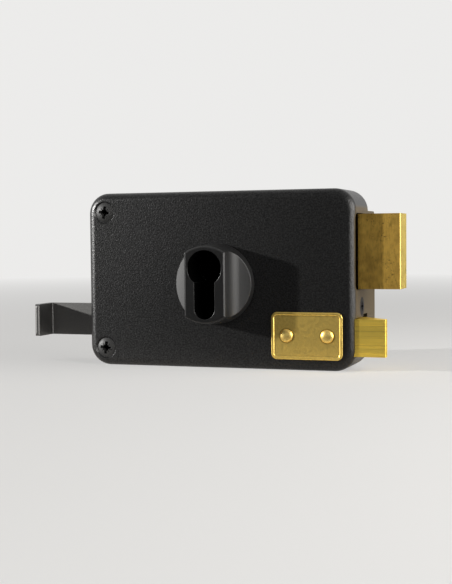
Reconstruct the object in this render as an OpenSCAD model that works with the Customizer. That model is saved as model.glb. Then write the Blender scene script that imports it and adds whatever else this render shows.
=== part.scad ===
// Rim night latch: a lock case for the face of a door, with a square deadbolt, a sprung latch
// drawn by a pull on the far side, and a cut-out for a profile cylinder. Millimetres.
// The origin is the axis of the cylinder's plug on the door face.
// X runs towards the bolts, Y into the door and Z up, so the front of the case faces -Y.

/* [Case] */
// Width of the case
case_w = 140; // [132:1:160]
// Height of the case
case_h = 88; // [84:1:110]
// Depth of the case, from the door to its front
case_d = 30; // [28:0.5:36]
// Radius of the case's corners, seen from the front
corner_r = 10.5; // [8:0.5:14]
// Radius of the rounded front edge
edge_r = 4; // [2:0.5:5]
// Thickness of the front wall
front_t = 2; // [1.5:0.1:3]
// Thickness of the top, bottom and left walls
wall_t = 2.5; // [1.8:0.1:3.5]
// Thickness of the fore-edge wall and its tab
fore_t = 3; // [2.6:0.1:4]
// How far the tab laps the edge of the door
tab_d = 15.7; // [12:0.1:22]
// Radius of the tab's free corners
tab_r = 2.5; // [1:0.5:5]
// Thickness of the back plate
plate_t = 2; // [1.5:0.1:3]

/* [Cylinder cut-out] */
// Distance from the plug's axis to the face of the fore-edge
backset = 70; // [66:1:80]
// Height of the plug's axis above the middle of the case
cyl_rise = 6.2; // [4:0.1:8]
// Radius of the round part of the cut-out
plug_r = 8.65; // [8.5:0.05:9]
// Radius of the lobe of the cut-out
lobe_r = 5.2; // [5:0.05:5.6]
// Distance from the plug's axis down to the middle of the lobe
lobe_drop = 19.5; // [18:0.1:21]
// Distance from the door to the middle of the cylinder's cam
cam_depth = 14; // [12.5:0.1:16]

/* [Escutcheon] */
// Diameter of the collar on the case
collar_d = 40; // [39:0.5:46]
// Diameter of the collar at its top
collar_top_d = 37.5; // [36.5:0.5:44]
// Height of the collar above the case
collar_h = 17; // [12:0.5:22]
// Width of the rib across the collar
rib_w = 21; // [18.6:0.1:22]
// Radius of the finger scoops beside the rib
scoop_r = 6.5; // [4:0.5:8]
// Slope of the scoops' flat outer parts, in degrees
scoop_slope = 22; // [15:1:30]
// Chamfer of the collar's top edges
collar_chamfer = 0.8; // [0.2:0.1:1.5]

/* [Deadbolt] */
// Height of the deadbolt's head
bolt_h = 36.2; // [30:0.1:40]
// Thickness of the deadbolt's head
bolt_t = 15.7; // [12:0.1:17]
// How far the thrown deadbolt stands out
bolt_out = 20.5; // [15:0.1:22]
// Length of the head that stays inside the fore-edge
bolt_in = 25; // [22:0.5:27]
// Height of the deadbolt's middle above the plug's axis
bolt_rise = 7.4; // [6:0.1:9]
// Distance from the front of the case to the front of the deadbolt
bolt_recess = 7.7; // [6:0.1:9]
// Thickness of the deadbolt's tail
tail_t = 4; // [3:0.1:5]
// Height of the deadbolt's tail
tail_h = 12.2; // [11:0.1:14]

/* [Latch] */
// Height of the latch bolt
latch_h = 18; // [15:0.1:19.5]
// Thickness of the latch bolt
latch_t = 18; // [15:0.1:19]
// How far the latch stands out at rest
latch_out = 14.3; // [10:0.1:15]
// Length of the latch that stays inside the fore-edge
latch_in = 27; // [24:0.5:28]
// Distance from the cylinder screw down to the middle of the latch
latch_below = 14.45; // [13.5:0.05:16]
// Width of the blunt tip of the latch
nose_w = 4; // [2:0.1:6]
// Thickness of the latch's slide
slide_t = 3; // [2:0.1:3.5]
// Height of the latch's slide
slide_h = 13.5; // [12.5:0.1:14]
// Radius of the latch spring at the middle of its wire
spring_r = 2.9; // [2.6:0.1:3.5]
// Radius of the latch spring's wire
wire_r = 0.45; // [0.3:0.05:0.5]
// Number of turns of the latch spring
spring_turns = 9; // [6:1:10]

/* [Pull] */
// Height of the pull
pull_h = 16.75; // [13:0.25:18]
// Thickness of the pull
pull_t = 3; // [2:0.1:3.5]
// How far the pull stands out of the case
pull_out = 31.2; // [25:0.1:45]
// How far the lip stands out of the bar
lip_len = 15; // [10:0.1:18]
// Thickness of the lip
lip_t = 2.7; // [2:0.1:3.5]
// Gap between the lower cover pillar and the pull
pull_gap = 0.6; // [0.4:0.1:1.2]

/* [Retractor] */
// Angle that the retractor swings through
lever_swing = 30; // [26:1:36]
// Thickness of the retractor
lever_t = 3; // [2:0.1:4]
// Distance from the left side of the case to the retractor's pivot
lever_inset = 39; // [38:0.1:40]
// Distance from the plug's axis down to the retractor's pivot
lever_drop = 6; // [5:0.1:6.6]

/* [Fastenings] */
// Distance of the cover screws from the left side of the case
screw_inset_x = 9.6; // [9.3:0.1:12]
// Distance of the cover screws from the top and bottom of the case
screw_inset_z = 9.4; // [8.5:0.1:9.8]
// Diameter of the cover screws' heads
cover_head_d = 9.8; // [8.5:0.1:10.4]
// Diameter of the cover screws' shanks
cover_shank_d = 4.9; // [4:0.1:5]
// Diameter of the cylinder screw's head
cyl_head_d = 9.3; // [8:0.1:9.6]
// Diameter of the cylinder screw's shank
cyl_shank_d = 4.9; // [4:0.1:5]
// Diameter of the screw holes in the tab
tab_hole_d = 5; // [4:0.1:6]
// Distance between the screw holes in the tab
tab_hole_pitch = 50; // [40:1:54]
// Diameter of the screw holes in the back plate
plate_hole_d = 4.2; // [3.5:0.1:4.6]

/* [Badge] */
// Width of the badge plate
badge_w = 35.5; // [30:0.1:38]
// Height of the badge plate
badge_h = 23; // [20:0.1:24]
// Thickness of the badge plate
badge_t = 1; // [0.8:0.1:1.5]
// Radius of the badge plate's corners
badge_r = 2.9; // [2:0.1:4]
// Width of the badge plate's raised rim
badge_rim = 1.7; // [1:0.1:2.5]
// Distance from the fore-edge to the middle of the badge plate
badge_inset_x = 23.6; // [22.5:0.1:26]
// Distance from the bottom of the case to the middle of the badge plate
badge_inset_z = 17; // [15.5:0.1:18]
// Distance between the badge rivets
rivet_pitch = 20.3; // [16:0.1:24]
// Diameter of the badge rivets' heads
rivet_d = 6.6; // [5:0.1:7.5]

/* [Hidden] */
$fn = 64;

// Overshoot of every cut past the face that it opens
cut = 1;
// Clearances: a fixed piece in its seat, a shank in its hole, a sliding piece on its guide,
// a bolt or pull in its opening, and the back plate in the case
seat_clear = 0.02;
hole_clear = 0.15;
slide_clear = 0.2;
slot_clear = 0.4;
plate_clear = 0.25;

// Planes of the case
x_fore = backset;
x_left = backset - case_w;
x_in_right = x_fore - fore_t;
x_in_left = x_left + wall_t;
z_mid = -cyl_rise;
z_top = z_mid + case_h / 2;
z_bot = z_mid - case_h / 2;
y_front = -case_d;
y_inner = y_front + front_t;
y_plate = -plate_t;
y_cam = -cam_depth;

// Tab and its screw holes
tab_z = [z_bot + corner_r, z_top - corner_r];
tab_hole_y = tab_d / 2;
tab_hole_z = [z_mid - tab_hole_pitch / 2, z_mid + tab_hole_pitch / 2];
tab_sink_d = 9;

// Screw holes in the back plate
plate_hole_x = -18;
plate_hole_inset = 5.8;
plate_hole_z = [z_bot + plate_hole_inset, z_top - plate_hole_inset];

// Cover screws: a counterbore with a soft edge, a raised countersunk head and a boss behind it
cover_x = x_left + screw_inset_x;
cover_drop = 0.4;
cover_z = [z_bot + screw_inset_z - cover_drop, z_top - screw_inset_z - cover_drop];
cover_bore_d = cover_head_d + 0.6;
cover_bore_depth = 0.6;
cover_bore_soft = 0.6;
cover_dome_h = 1.3;
cover_boss_r = cover_head_d / 2 + 1.7;
cover_sink_depth = (cover_head_d - cover_shank_d) / 2;
y_cover_head = y_front + cover_bore_depth;
y_pillar = y_cover_head + cover_sink_depth + cover_bore_soft;
pillar_r = 4.5;
cover_shank_in = 16;
recess_w = 1.1;
recess_l = 5.6;
recess_depth = 1.9;
tick_w = 0.35;
tick_l = 4.4;
tick_depth = 0.4;

// Bosses and screws that hold the back plate
boss_r = 3.2;
boss_sink = 0.5;
plate_screw_r = 1.5;
plate_screw_head_r = 2.6;
plate_screw_l = 10;

// Collar and its screws
collar_z = (plug_r - lobe_drop - lobe_r) / 2;
y_collar = y_front - collar_h;
scoop_up = 12.1;
y_scoop = y_front - scoop_up;
collar_screw_x = 12.6;
collar_screw_r = 1.45;
collar_screw_depth = 4.5;
collar_screw_head_r = 2.7;
collar_screw_head_h = 2;

// Cylinder screw, short of the cut-out
cyl_screw_x = lobe_r + 0.6;
cyl_sink = (cyl_head_d - cyl_shank_d) / 2;
cyl_slot_w = 1.2;
cyl_slot_depth = 1.3;

// Badge plate
badge_x = x_fore - badge_inset_x;
badge_z = z_bot + badge_inset_z;
y_badge = y_front - badge_t;
badge_field_depth = 0.4;
rivet_x = [badge_x - rivet_pitch / 2, badge_x + rivet_pitch / 2];
rivet_head_h = 1.4;
rivet_shank_r = 1.6;

// Deadbolt: head, tail, guide slot, cam notch and detent notches
bolt_x = [x_fore - bolt_in, x_fore + bolt_out];
bolt_y = [y_front + bolt_recess, y_front + bolt_recess + bolt_t];
bolt_z = [bolt_rise - bolt_h / 2, bolt_rise + bolt_h / 2];
bolt_chamfer = 0.3;
bolt_slot_z = [bolt_z[0] - slot_clear, bolt_z[1] + slot_clear];
bolt_slot_lap = 1.2;
bolt_slot_y = [y_front + edge_r - bolt_slot_lap, bolt_y[1] + slot_clear];
bolt_slot_r = 2.5;
bolt_slot_back_r = 1;
tail_gap = 1.15;
tail_lap = 15;
tail_end_gap = 7;
tail_x = [x_in_left + bolt_out + tail_end_gap, bolt_x[0] + tail_lap];
tail_y = [y_cam - tail_t / 2, y_cam + tail_t / 2];
tail_z = [plug_r + tail_gap, plug_r + tail_gap + tail_h];
tail_mid_z = (tail_z[0] + tail_z[1]) / 2;
bolt_rivet_r = 2;
bolt_rivet_x = [bolt_x[0] + tail_lap * 0.3, bolt_x[0] + tail_lap * 0.7];
bolt_post_in = 10;
bolt_post_x = tail_x[0] + bolt_post_in;
bolt_post_r = 3;
cam_notch_x = bolt_out / 2;
cam_notch_w = 11;
cam_notch_h = 6.5;

// Detent: a leaf that slopes from its anchor down to a nib in a notch of the tail
nib_x = 2;
nib_depth = 1.2;
nib_half = 4.5;
nib_lift = 0.4;
nib_clear = 0.25;
nib_slope = (nib_depth + nib_lift) / nib_half;
leaf_t = 0.6;
leaf_w = 8;
leaf_y = [y_cam - leaf_w / 2, y_cam + leaf_w / 2];
leaf_turn_up = 1.5;
leaf_turn_l = 2.5;
detent_screw_r = 1.4;
detent_head_r = 2.6;
detent_head_h = 1.8;
detent_room = 2.9;
anchor_w = 6;
anchor_gap = 1;
anchor_ahead = 11;
anchor_x = [tail_x[0] - anchor_ahead, tail_x[0] - anchor_ahead + anchor_w];
anchor_z = [tail_z[1] + anchor_gap, z_top - wall_t - detent_room - detent_head_h - leaf_t];

// Latch: bolt, slide and the rivets between them
latch_z_mid = -lobe_drop - latch_below;
latch_x = [x_fore - latch_in, x_fore + latch_out];
latch_y = [y_inner + slot_clear - 0.1, y_inner + slot_clear - 0.1 + latch_t];
latch_z = [latch_z_mid - latch_h / 2, latch_z_mid + latch_h / 2];
bevel_start = 0.3;
latch_relief_h = 1.5;
latch_relief_y = [latch_y[1] - 1.5, y_plate - plate_clear];
slide_sink = 0.3;
slide_y = [latch_y[1] - slide_sink - slide_t, latch_y[1] - slide_sink];
slide_z = [latch_z_mid - slide_h / 2, latch_z_mid + slide_h / 2];
slide_lap = 15;
slide_end_gap = 3.2;
slide_x = [x_in_left + latch_out + slide_end_gap, latch_x[0] + slide_lap];
latch_rivet_r = 1.6;
latch_rivet_x = latch_x[0] + slide_lap / 2;
latch_rivet_dz = 4.5;
latch_rivet_depth = 5;

// Pull: a bar on the front of the slide, with a lip bent towards the front
pull_lap = 14;
pull_x = [x_left - pull_out, slide_x[0] + pull_lap];
pull_y = [slide_y[0] - pull_t, slide_y[0]];
pull_z = [cover_z[0] + pillar_r + pull_gap, cover_z[0] + pillar_r + pull_gap + pull_h];
lip_y = pull_y[0] - lip_len;
lip_corner_r = 2;
bend_r = 1.6;
inner_bend_r = 0.8;
pull_rivet_r = 1.6;
pull_rivet_head_r = 2.8;
pull_rivet_head_h = 0.9;
pull_rivet_x = [slide_x[0] + pull_lap * 0.3, slide_x[0] + pull_lap * 0.7];
pull_rivet_z = (pull_z[0] + slide_z[1]) / 2;

// Where the bosses stand: one on the top wall, and one on the left wall between the pull and the tail
top_boss_x = 17.5;
boss_at = [
    [top_boss_x, z_top - wall_t - boss_r + boss_sink],
    [x_in_left + boss_r - boss_sink, (pull_z[1] + tail_z[0]) / 2],
];

// Narrow end of the slide, level with the lower edge of the pull
slide_step_x = pull_x[1] + 2;

// Retractor: a two-armed lever, swinging evenly to both sides of upright
pivot_x = x_left + lever_inset;
pivot_z = -lever_drop;
lever_y = [slide_y[0] - 1 - lever_t, slide_y[0] - 1];
lever_arm = latch_out / (2 * sin(lever_swing / 2));
lever_pin_r = 2.5;
lever_pin_x = pivot_x + lever_arm * sin(lever_swing / 2);
lever_pin_z = pivot_z - lever_arm * cos(lever_swing / 2);
lever_pin_z_low = pivot_z - lever_arm;
lever_hub_r = 6;
lever_foot_r = 4.2;
lever_arm_w = 7;
cam_arm_w = 5;
cam_arm_gap = 2.8;
cam_arm_rise = 7.9;
cam_tip = [-plug_r - cam_arm_gap - cam_arm_w / 2, pivot_z + cam_arm_rise];
pivot_r = 3;

// Post that guides the slide
slide_post_x = 2;
slide_post_r = 2.5;

// Posts: a shoulder that the piece runs on, a pin through it and a clip in the pin's groove
shoulder_extra = 1.6;
run_gap = 0.1;
clip_t = 0.8;
clip_wide = 1.8;
clip_groove = 0.5;
clip_mouth = 0.8;
pin_end = 0.8;
// Each post: where it stands, its pin's radius, and the back and front faces of what it carries
bolt_post = [bolt_post_x, tail_mid_z, bolt_post_r, tail_y];
guide_post = [slide_post_x, latch_z_mid, slide_post_r, slide_y];
pivot_post = [pivot_x, pivot_z, pivot_r, lever_y];

// Round ends that are riveted through the back plate, and square tongues that are set in it
tenon_r = 2;
tenon_flare = 0.5;
tenon_at = concat([for (p = [bolt_post, guide_post, pivot_post]) [p[0], p[1]]], [for (z = cover_z) [cover_x, z]]);
tongue_inset = 1.5;

// Latch spring on its rod, between the bracket and the back of the latch
spring_ahead = 4;
spring_y = pull_y[0] - spring_ahead;
rod_r = spring_r - wire_r - 0.65;
rod_in = 6;
bracket_from = 13;
bracket_t = 3;
bracket_x = [bracket_from, bracket_from + bracket_t];
bracket_reach = 5;
bracket_y = [spring_y - bracket_reach + 1, spring_y + bracket_reach];
bracket_leg_z = [z_bot + wall_t + plate_clear, slide_z[0] - slide_clear];
bracket_top = latch_z_mid + bracket_reach;
rod_tail = 5;
rod_x = [bracket_x[0] - rod_tail, latch_x[0] + rod_in];
spring_x = [bracket_x[1] + wire_r + seat_clear, latch_x[0] - wire_r - seat_clear];
rings_per_turn = 8;
wire_sides = 6;
end_pitch = 2 * wire_r + 0.5;

// Where the bracket and the detent's anchor are set in the back plate
bracket_tongue_z = [bracket_leg_z[0] + tongue_inset, bracket_leg_z[1] - tongue_inset];
anchor_tongue_x = [anchor_x[0] + tongue_inset, anchor_x[1] - tongue_inset];
anchor_tongue_z = [anchor_z[0] + tongue_inset, anchor_z[1] - tongue_inset];

// Box between two values on each axis
module box(x, y, z) {
    translate([x[0], y[0], z[0]])
        cube([x[1] - x[0], y[1] - y[0], z[1] - z[0]]);
}

// An X-Z outline, extruded over a range of Y
module along_y(y) {
    translate([0, y[1], 0]) rotate([90, 0, 0]) linear_extrude(y[1] - y[0]) children();
}

// A Y-Z outline, extruded over a range of X
module along_x(x) {
    translate([x[0], 0, 0]) rotate([90, 0, 90]) linear_extrude(x[1] - x[0]) children();
}

// An X-Y outline, extruded over a range of Z
module along_z(z) {
    translate([0, 0, z[0]]) linear_extrude(z[1] - z[0]) children();
}

// Round bar along Y, from radius r to radius r_end
module rod_y(x, z, r, y, r_end = undef) {
    translate([x, y[0], z]) rotate([-90, 0, 0])
        cylinder(r1 = r, r2 = is_undef(r_end) ? r : r_end, h = y[1] - y[0]);
}

// Round bar along X, from radius r to radius r_end
module rod_x_at(y, z, r, x, r_end = undef) {
    translate([x[0], y, z]) rotate([0, 90, 0])
        cylinder(r1 = r, r2 = is_undef(r_end) ? r : r_end, h = x[1] - x[0]);
}

// Rectangle with four round corners, between two values on each axis
module round_rect(u, v, r) {
    translate([u[0] + r, v[0]]) square([u[1] - u[0] - 2 * r, v[1] - v[0]]);
    translate([u[0], v[0] + r]) square([u[1] - u[0], v[1] - v[0] - 2 * r]);
    for (a = [u[0] + r, u[1] - r])
        for (b = [v[0] + r, v[1] - r])
            translate([a, b]) circle(r);
}

// Slot with round ends, between the middles of its ends
module slot_2d(u, v, r) {
    for (a = u)
        translate([a, v]) circle(r);
    translate([u[0], v - r]) square([u[1] - u[0], 2 * r]);
}

// Straight bar of a flat lever, between two points
module bar_2d(from, to, w) {
    d = to - from;
    translate(from) rotate(atan2(d[1], d[0])) translate([0, -w / 2]) square([norm(d), w]);
}

// Riveted end of a post, spread into a shallow countersink and flush with the back of the plate
module tenon(p, clear = 0) {
    rod_y(p[0], p[1], tenon_r + clear, [y_plate - clear, clear]);
    rod_y(p[0], p[1], tenon_r + clear, [-tenon_flare, clear], tenon_r + tenon_flare + 2 * clear);
}

// Square tongue through the back plate
module plate_tongue(x, z, clear = 0) {
    box([x[0] - clear, x[1] + clear], [y_plate - clear, clear], [z[0] - clear, z[1] + clear]);
}

// Outline of the profile cylinder's cut-out
module profile_2d() {
    circle(plug_r);
    translate([0, -lobe_drop]) circle(lobe_r);
    translate([-lobe_r, -lobe_drop]) square([2 * lobe_r, lobe_drop]);
}

// Section of the case across its front edge: u is the depth, v the way across
module edge_section(v) {
    translate([y_front + edge_r, v[0]]) square([case_d - edge_r, v[1] - v[0]]);
    translate([y_front, v[0] + edge_r]) square([case_d, v[1] - v[0] - 2 * edge_r]);
    for (b = [v[0] + edge_r, v[1] - edge_r])
        translate([y_front + edge_r, b]) circle(edge_r);
}

// The case as a solid block with round corners and a round front edge
module case_block() {
    along_x([x_left + corner_r, x_fore - corner_r]) edge_section([z_bot, z_top]);
    along_z(tab_z) mirror([1, -1]) edge_section([x_left, x_fore]);
    for (x = [x_left + corner_r, x_fore - corner_r])
        for (z = tab_z)
            translate([x, 0, z]) rotate([90, 0, 0]) rotate_extrude() {
                square([corner_r, case_d - edge_r]);
                square([corner_r - edge_r, case_d]);
                translate([corner_r - edge_r, case_d - edge_r]) circle(edge_r);
            }
}

// Hole for a cover screw: soft-edged counterbore, countersink and shank
module cover_screw_hole(z) {
    bore_r = cover_bore_d / 2;
    shank_r = cover_shank_d / 2 + hole_clear;
    rod_y(cover_x, z, bore_r + cover_bore_soft, [y_front, y_front + cover_bore_soft], bore_r);
    rod_y(cover_x, z, bore_r + cover_bore_soft, [y_front - cut, y_front]);
    rod_y(cover_x, z, bore_r, [y_front, y_cover_head]);
    rod_y(cover_x, z, cover_head_d / 2 + seat_clear, [y_cover_head, y_cover_head + cover_sink_depth],
          cover_shank_d / 2 + seat_clear);
    rod_y(cover_x, z, shank_r, [y_cover_head, y_pillar + cut]);
}

module casing() {
    color("#2b2b2c") difference() {
        union() {
            difference() {
                union() {
                    case_block();
                    along_x([x_in_right, x_fore]) round_rect([-2 * tab_r, tab_d], tab_z, tab_r);
                }
                along_y([y_inner, cut])
                    round_rect([x_in_left, x_in_right], [z_bot + wall_t, z_top - wall_t], corner_r - wall_t);
                // Room for the tab: nothing behind the door plane but the tab itself
                box([x_left - cut, x_in_right], [0, tab_d + cut], [z_bot, z_top]);
            }
            for (z = cover_z)
                rod_y(cover_x, z, cover_boss_r, [y_inner, y_pillar]);
            for (p = boss_at)
                rod_y(p[0], p[1], boss_r, [y_inner, y_plate]);
        }
        along_y([y_front - cut, y_inner + cut]) profile_2d();
        for (z = cover_z)
            cover_screw_hole(z);
        for (p = boss_at)
            rod_y(p[0], p[1], plate_screw_r + seat_clear, [y_plate - plate_screw_l, y_plate + cut]);
        for (s = [-1, 1])
            rod_y(s * collar_screw_x, collar_z, collar_screw_r + hole_clear, [y_front - cut, y_inner + cut]);
        for (x = rivet_x)
            rod_y(x, badge_z, rivet_shank_r + seat_clear, [y_front - cut, y_inner + cut]);
        // Openings for the two bolts
        along_x([x_in_right - cut, x_fore + cut]) {
            round_rect(bolt_slot_y, bolt_slot_z, bolt_slot_r);
            round_rect([bolt_y[0] - slot_clear, bolt_slot_y[1]], bolt_slot_z, bolt_slot_back_r);
            translate([y_inner, latch_z[0] - slot_clear])
                square([latch_y[1] + slot_clear - y_inner, latch_h + 2 * slot_clear]);
            translate([latch_relief_y[0], latch_z[1] - latch_relief_h])
                square([latch_relief_y[1] - latch_relief_y[0], 2 * latch_relief_h]);
        }
        // The pull's notch, open at the back
        box([x_left - cut, x_in_left + cut], [pull_y[0] - slot_clear, cut],
            [pull_z[0] - slot_clear, pull_z[1] + slot_clear]);
        // Cylinder screw
        rod_x_at(y_cam, -lobe_drop, cyl_shank_d / 2 + hole_clear, [x_in_right - cut, x_fore]);
        rod_x_at(y_cam, -lobe_drop, cyl_shank_d / 2 + seat_clear, [x_fore - cyl_sink, x_fore],
                 cyl_head_d / 2 + seat_clear);
        // Screw holes in the tab, countersunk from the outside
        for (z = tab_hole_z) {
            rod_x_at(tab_hole_y, z, tab_hole_d / 2, [x_in_right - cut, x_fore + cut]);
            rod_x_at(tab_hole_y, z, tab_hole_d / 2, [x_fore - (tab_sink_d - tab_hole_d) / 2, x_fore],
                     tab_sink_d / 2);
        }
    }
}

module back_plate() {
    tongue_z = [pull_z[0] - slot_clear + plate_clear, pull_z[1] + slot_clear - plate_clear];
    color("#b4b5b3") difference() {
        union() {
            along_y([y_plate, 0])
                round_rect([x_in_left + plate_clear, x_in_right - plate_clear],
                           [z_bot + wall_t + plate_clear, z_top - wall_t - plate_clear], corner_r - wall_t);
            // Tongue that closes the notch behind the pull
            box([x_left + slot_clear, x_in_left + wall_t], [y_plate, 0], tongue_z);
            box([x_left + slot_clear, x_in_left], [pull_y[1] + slot_clear, 0], tongue_z);
        }
        along_y([y_plate - cut, cut]) profile_2d();
        for (z = plate_hole_z)
            rod_y(plate_hole_x, z, plate_hole_d / 2, [y_plate - cut, cut]);
        for (p = boss_at) {
            rod_y(p[0], p[1], plate_screw_r + hole_clear, [y_plate - cut, cut]);
            rod_y(p[0], p[1], plate_screw_r + seat_clear, [plate_screw_r - plate_screw_head_r, 0],
                  plate_screw_head_r + seat_clear);
        }
        for (p = tenon_at)
            tenon(p, seat_clear);
        plate_tongue(bracket_x, bracket_tongue_z, seat_clear);
        plate_tongue(anchor_tongue_x, anchor_tongue_z, seat_clear);
    }
}

module cover_pillars() {
    color("#a7a9aa") for (z = cover_z)
        difference() {
            union() {
                rod_y(cover_x, z, pillar_r, [y_pillar, y_plate]);
                tenon([cover_x, z]);
            }
            rod_y(cover_x, z, cover_shank_d / 2 + seat_clear, [y_pillar - cut, y_pillar + cover_shank_in + cut]);
        }
}

module cover_screws() {
    head_r = cover_head_d / 2;
    dome_r = (head_r * head_r + cover_dome_h * cover_dome_h) / (2 * cover_dome_h);
    y_top = y_cover_head - cover_dome_h;
    color("#1d1d1e") for (z = cover_z)
        difference() {
            union() {
                rod_y(cover_x, z, head_r, [y_cover_head, y_cover_head + cover_sink_depth], cover_shank_d / 2);
                rod_y(cover_x, z, cover_shank_d / 2, [y_cover_head + cut, y_pillar + cover_shank_in]);
                intersection() {
                    translate([cover_x, y_top + dome_r, z]) sphere(dome_r);
                    rod_y(cover_x, z, head_r, [y_top - cut, y_cover_head]);
                }
            }
            for (a = [0, 90])
                translate([cover_x, y_top, z]) rotate([0, a, 0])
                    box([-recess_l / 2, recess_l / 2], [-cut, recess_depth], [-recess_w / 2, recess_w / 2]);
            for (a = [45, 135])
                translate([cover_x, y_top, z]) rotate([0, a, 0])
                    box([-tick_l / 2, tick_l / 2], [-cut, tick_depth], [-tick_w / 2, tick_w / 2]);
        }
}

module back_plate_screws() {
    color("#9a9c9d") for (p = boss_at)
        difference() {
            union() {
                rod_y(p[0], p[1], plate_screw_r, [y_plate - plate_screw_l + cut, 0]);
                rod_y(p[0], p[1], plate_screw_r, [plate_screw_r - plate_screw_head_r, 0], plate_screw_head_r);
            }
            translate([p[0], 0, p[1]])
                box([-plate_screw_head_r, plate_screw_head_r], [-plate_screw_head_r / 3, cut],
                    [-recess_w / 2, recess_w / 2]);
        }
}

// Section of one finger scoop: a wall, a round foot and a flat slope down to the collar's edge
module scoop_2d() {
    y_open = y_collar - 2 * cut;
    foot_x = rib_w / 2 + scoop_r - scoop_r * sin(scoop_slope);
    foot_y = y_scoop + scoop_r * cos(scoop_slope);
    translate([rib_w / 2 + scoop_r, y_scoop]) circle(scoop_r);
    translate([rib_w / 2, y_open]) square([collar_d, y_scoop - y_open]);
    polygon([[foot_x, foot_y], [foot_x + collar_d, foot_y + collar_d * tan(scoop_slope)],
             [foot_x + collar_d, y_open], [foot_x, y_open]]);
}

// Section of the collar: two scoops beside a rib with chamfered edges
module collar_section() {
    difference() {
        translate([-collar_d, y_collar - cut]) square([2 * collar_d, collar_h + cut]);
        for (s = [0, 1])
            mirror([s, 0]) {
                scoop_2d();
                translate([rib_w / 2, y_collar]) rotate(45) square(collar_chamfer * sqrt(2), center = true);
            }
    }
}

module cylinder_escutcheon() {
    top_r = collar_top_d / 2;
    color("#303032") difference() {
        intersection() {
            translate([0, y_front, collar_z]) rotate([90, 0, 0]) rotate_extrude()
                polygon([[0, 0], [collar_d / 2, 0], [top_r, collar_h - collar_chamfer],
                         [top_r - collar_chamfer, collar_h], [0, collar_h]]);
            along_z([collar_z - collar_d, collar_z + collar_d]) collar_section();
        }
        along_y([y_collar - cut, y_front + cut]) profile_2d();
        for (s = [-1, 1])
            rod_y(s * collar_screw_x, collar_z, collar_screw_r + seat_clear,
                  [y_front - collar_screw_depth - cut, y_front + cut]);
    }
}

module escutcheon_screws() {
    y_head = y_inner + collar_screw_head_h;
    color("#9a9c9d") for (s = [-1, 1])
        difference() {
            union() {
                rod_y(s * collar_screw_x, collar_z, collar_screw_r, [y_front - collar_screw_depth, y_head]);
                rod_y(s * collar_screw_x, collar_z, collar_screw_head_r, [y_inner, y_head]);
            }
            translate([s * collar_screw_x, y_head, collar_z])
                box([-cut - collar_screw_head_r, collar_screw_head_r + cut], [-collar_screw_head_h / 2, cut],
                    [-recess_w / 2, recess_w / 2]);
        }
}

module cylinder_screw() {
    color("#3a3733") difference() {
        union() {
            rod_x_at(y_cam, -lobe_drop, cyl_shank_d / 2, [cyl_screw_x, x_fore]);
            rod_x_at(y_cam, -lobe_drop, cyl_shank_d / 2, [x_fore - cyl_sink, x_fore], cyl_head_d / 2);
        }
        for (a = [0, 90])
            translate([x_fore, y_cam, -lobe_drop]) rotate([a, 0, 0])
                box([-cyl_slot_depth, cut], [-recess_l / 2, recess_l / 2], [-cyl_slot_w / 2, cyl_slot_w / 2]);
    }
}

module badge_plate() {
    half = [badge_w / 2, badge_h / 2];
    color("#c9a64c") difference() {
        along_y([y_badge, y_front])
            round_rect([badge_x - half[0], badge_x + half[0]], [badge_z - half[1], badge_z + half[1]], badge_r);
        along_y([y_badge - cut, y_badge + badge_field_depth])
            round_rect([badge_x - half[0] + badge_rim, badge_x + half[0] - badge_rim],
                       [badge_z - half[1] + badge_rim, badge_z + half[1] - badge_rim], badge_r - badge_rim / 2);
        for (x = rivet_x)
            rod_y(x, badge_z, rivet_shank_r + seat_clear, [y_badge - cut, y_front + cut]);
    }
}

module badge_rivets() {
    head_r = rivet_d / 2;
    dome_r = (head_r * head_r + rivet_head_h * rivet_head_h) / (2 * rivet_head_h);
    y_seat = y_badge + badge_field_depth;
    color("#d8b95e") for (x = rivet_x) {
        rod_y(x, badge_z, rivet_shank_r, [y_seat, y_inner]);
        intersection() {
            translate([x, y_seat - rivet_head_h + dome_r, badge_z]) sphere(dome_r);
            rod_y(x, badge_z, head_r, [y_seat - 2 * rivet_head_h, y_seat]);
        }
    }
}

module deadbolt_head() {
    c = bolt_chamfer;
    color("#b8923f") difference() {
        along_z(bolt_z)
            polygon([[bolt_x[0], bolt_y[0]], [bolt_x[1] - c, bolt_y[0]], [bolt_x[1], bolt_y[0] + c],
                     [bolt_x[1], bolt_y[1] - c], [bolt_x[1] - c, bolt_y[1]], [bolt_x[0], bolt_y[1]]]);
        box([bolt_x[0] - cut, tail_x[1] + seat_clear], [tail_y[0] - seat_clear, tail_y[1] + seat_clear],
            [tail_z[0] - seat_clear, tail_z[1] + seat_clear]);
        for (x = bolt_rivet_x)
            rod_y(x, tail_mid_z, bolt_rivet_r + seat_clear, [bolt_y[0] - cut, bolt_y[1] + cut]);
    }
}

// V-notch for the detent's nib, in the top edge of the tail
module detent_notch(x) {
    depth = nib_depth + nib_clear;
    half = depth / nib_slope;
    translate([x, tail_z[1]]) polygon([[-half, 0], [0, -depth], [half, 0], [half, cut], [-half, cut]]);
}

module deadbolt_tail() {
    post_r = bolt_post_r + slide_clear;
    color("#a7a9aa") difference() {
        along_y(tail_y) difference() {
            translate([tail_x[0], tail_z[0]]) square([tail_x[1] - tail_x[0], tail_h]);
            slot_2d([bolt_post_x, bolt_post_x + bolt_out], tail_mid_z, post_r);
            translate([cam_notch_x - cam_notch_w / 2, tail_z[0] - cut]) square([cam_notch_w, cam_notch_h + cut]);
            for (x = [nib_x, nib_x + bolt_out])
                detent_notch(x);
        }
        for (x = bolt_rivet_x)
            rod_y(x, tail_mid_z, bolt_rivet_r + seat_clear, [tail_y[0] - cut, tail_y[1] + cut]);
    }
}

module deadbolt_rivets() {
    color("#b7b9ba") for (x = bolt_rivet_x)
        rod_y(x, tail_mid_z, bolt_rivet_r, bolt_y);
}

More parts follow.
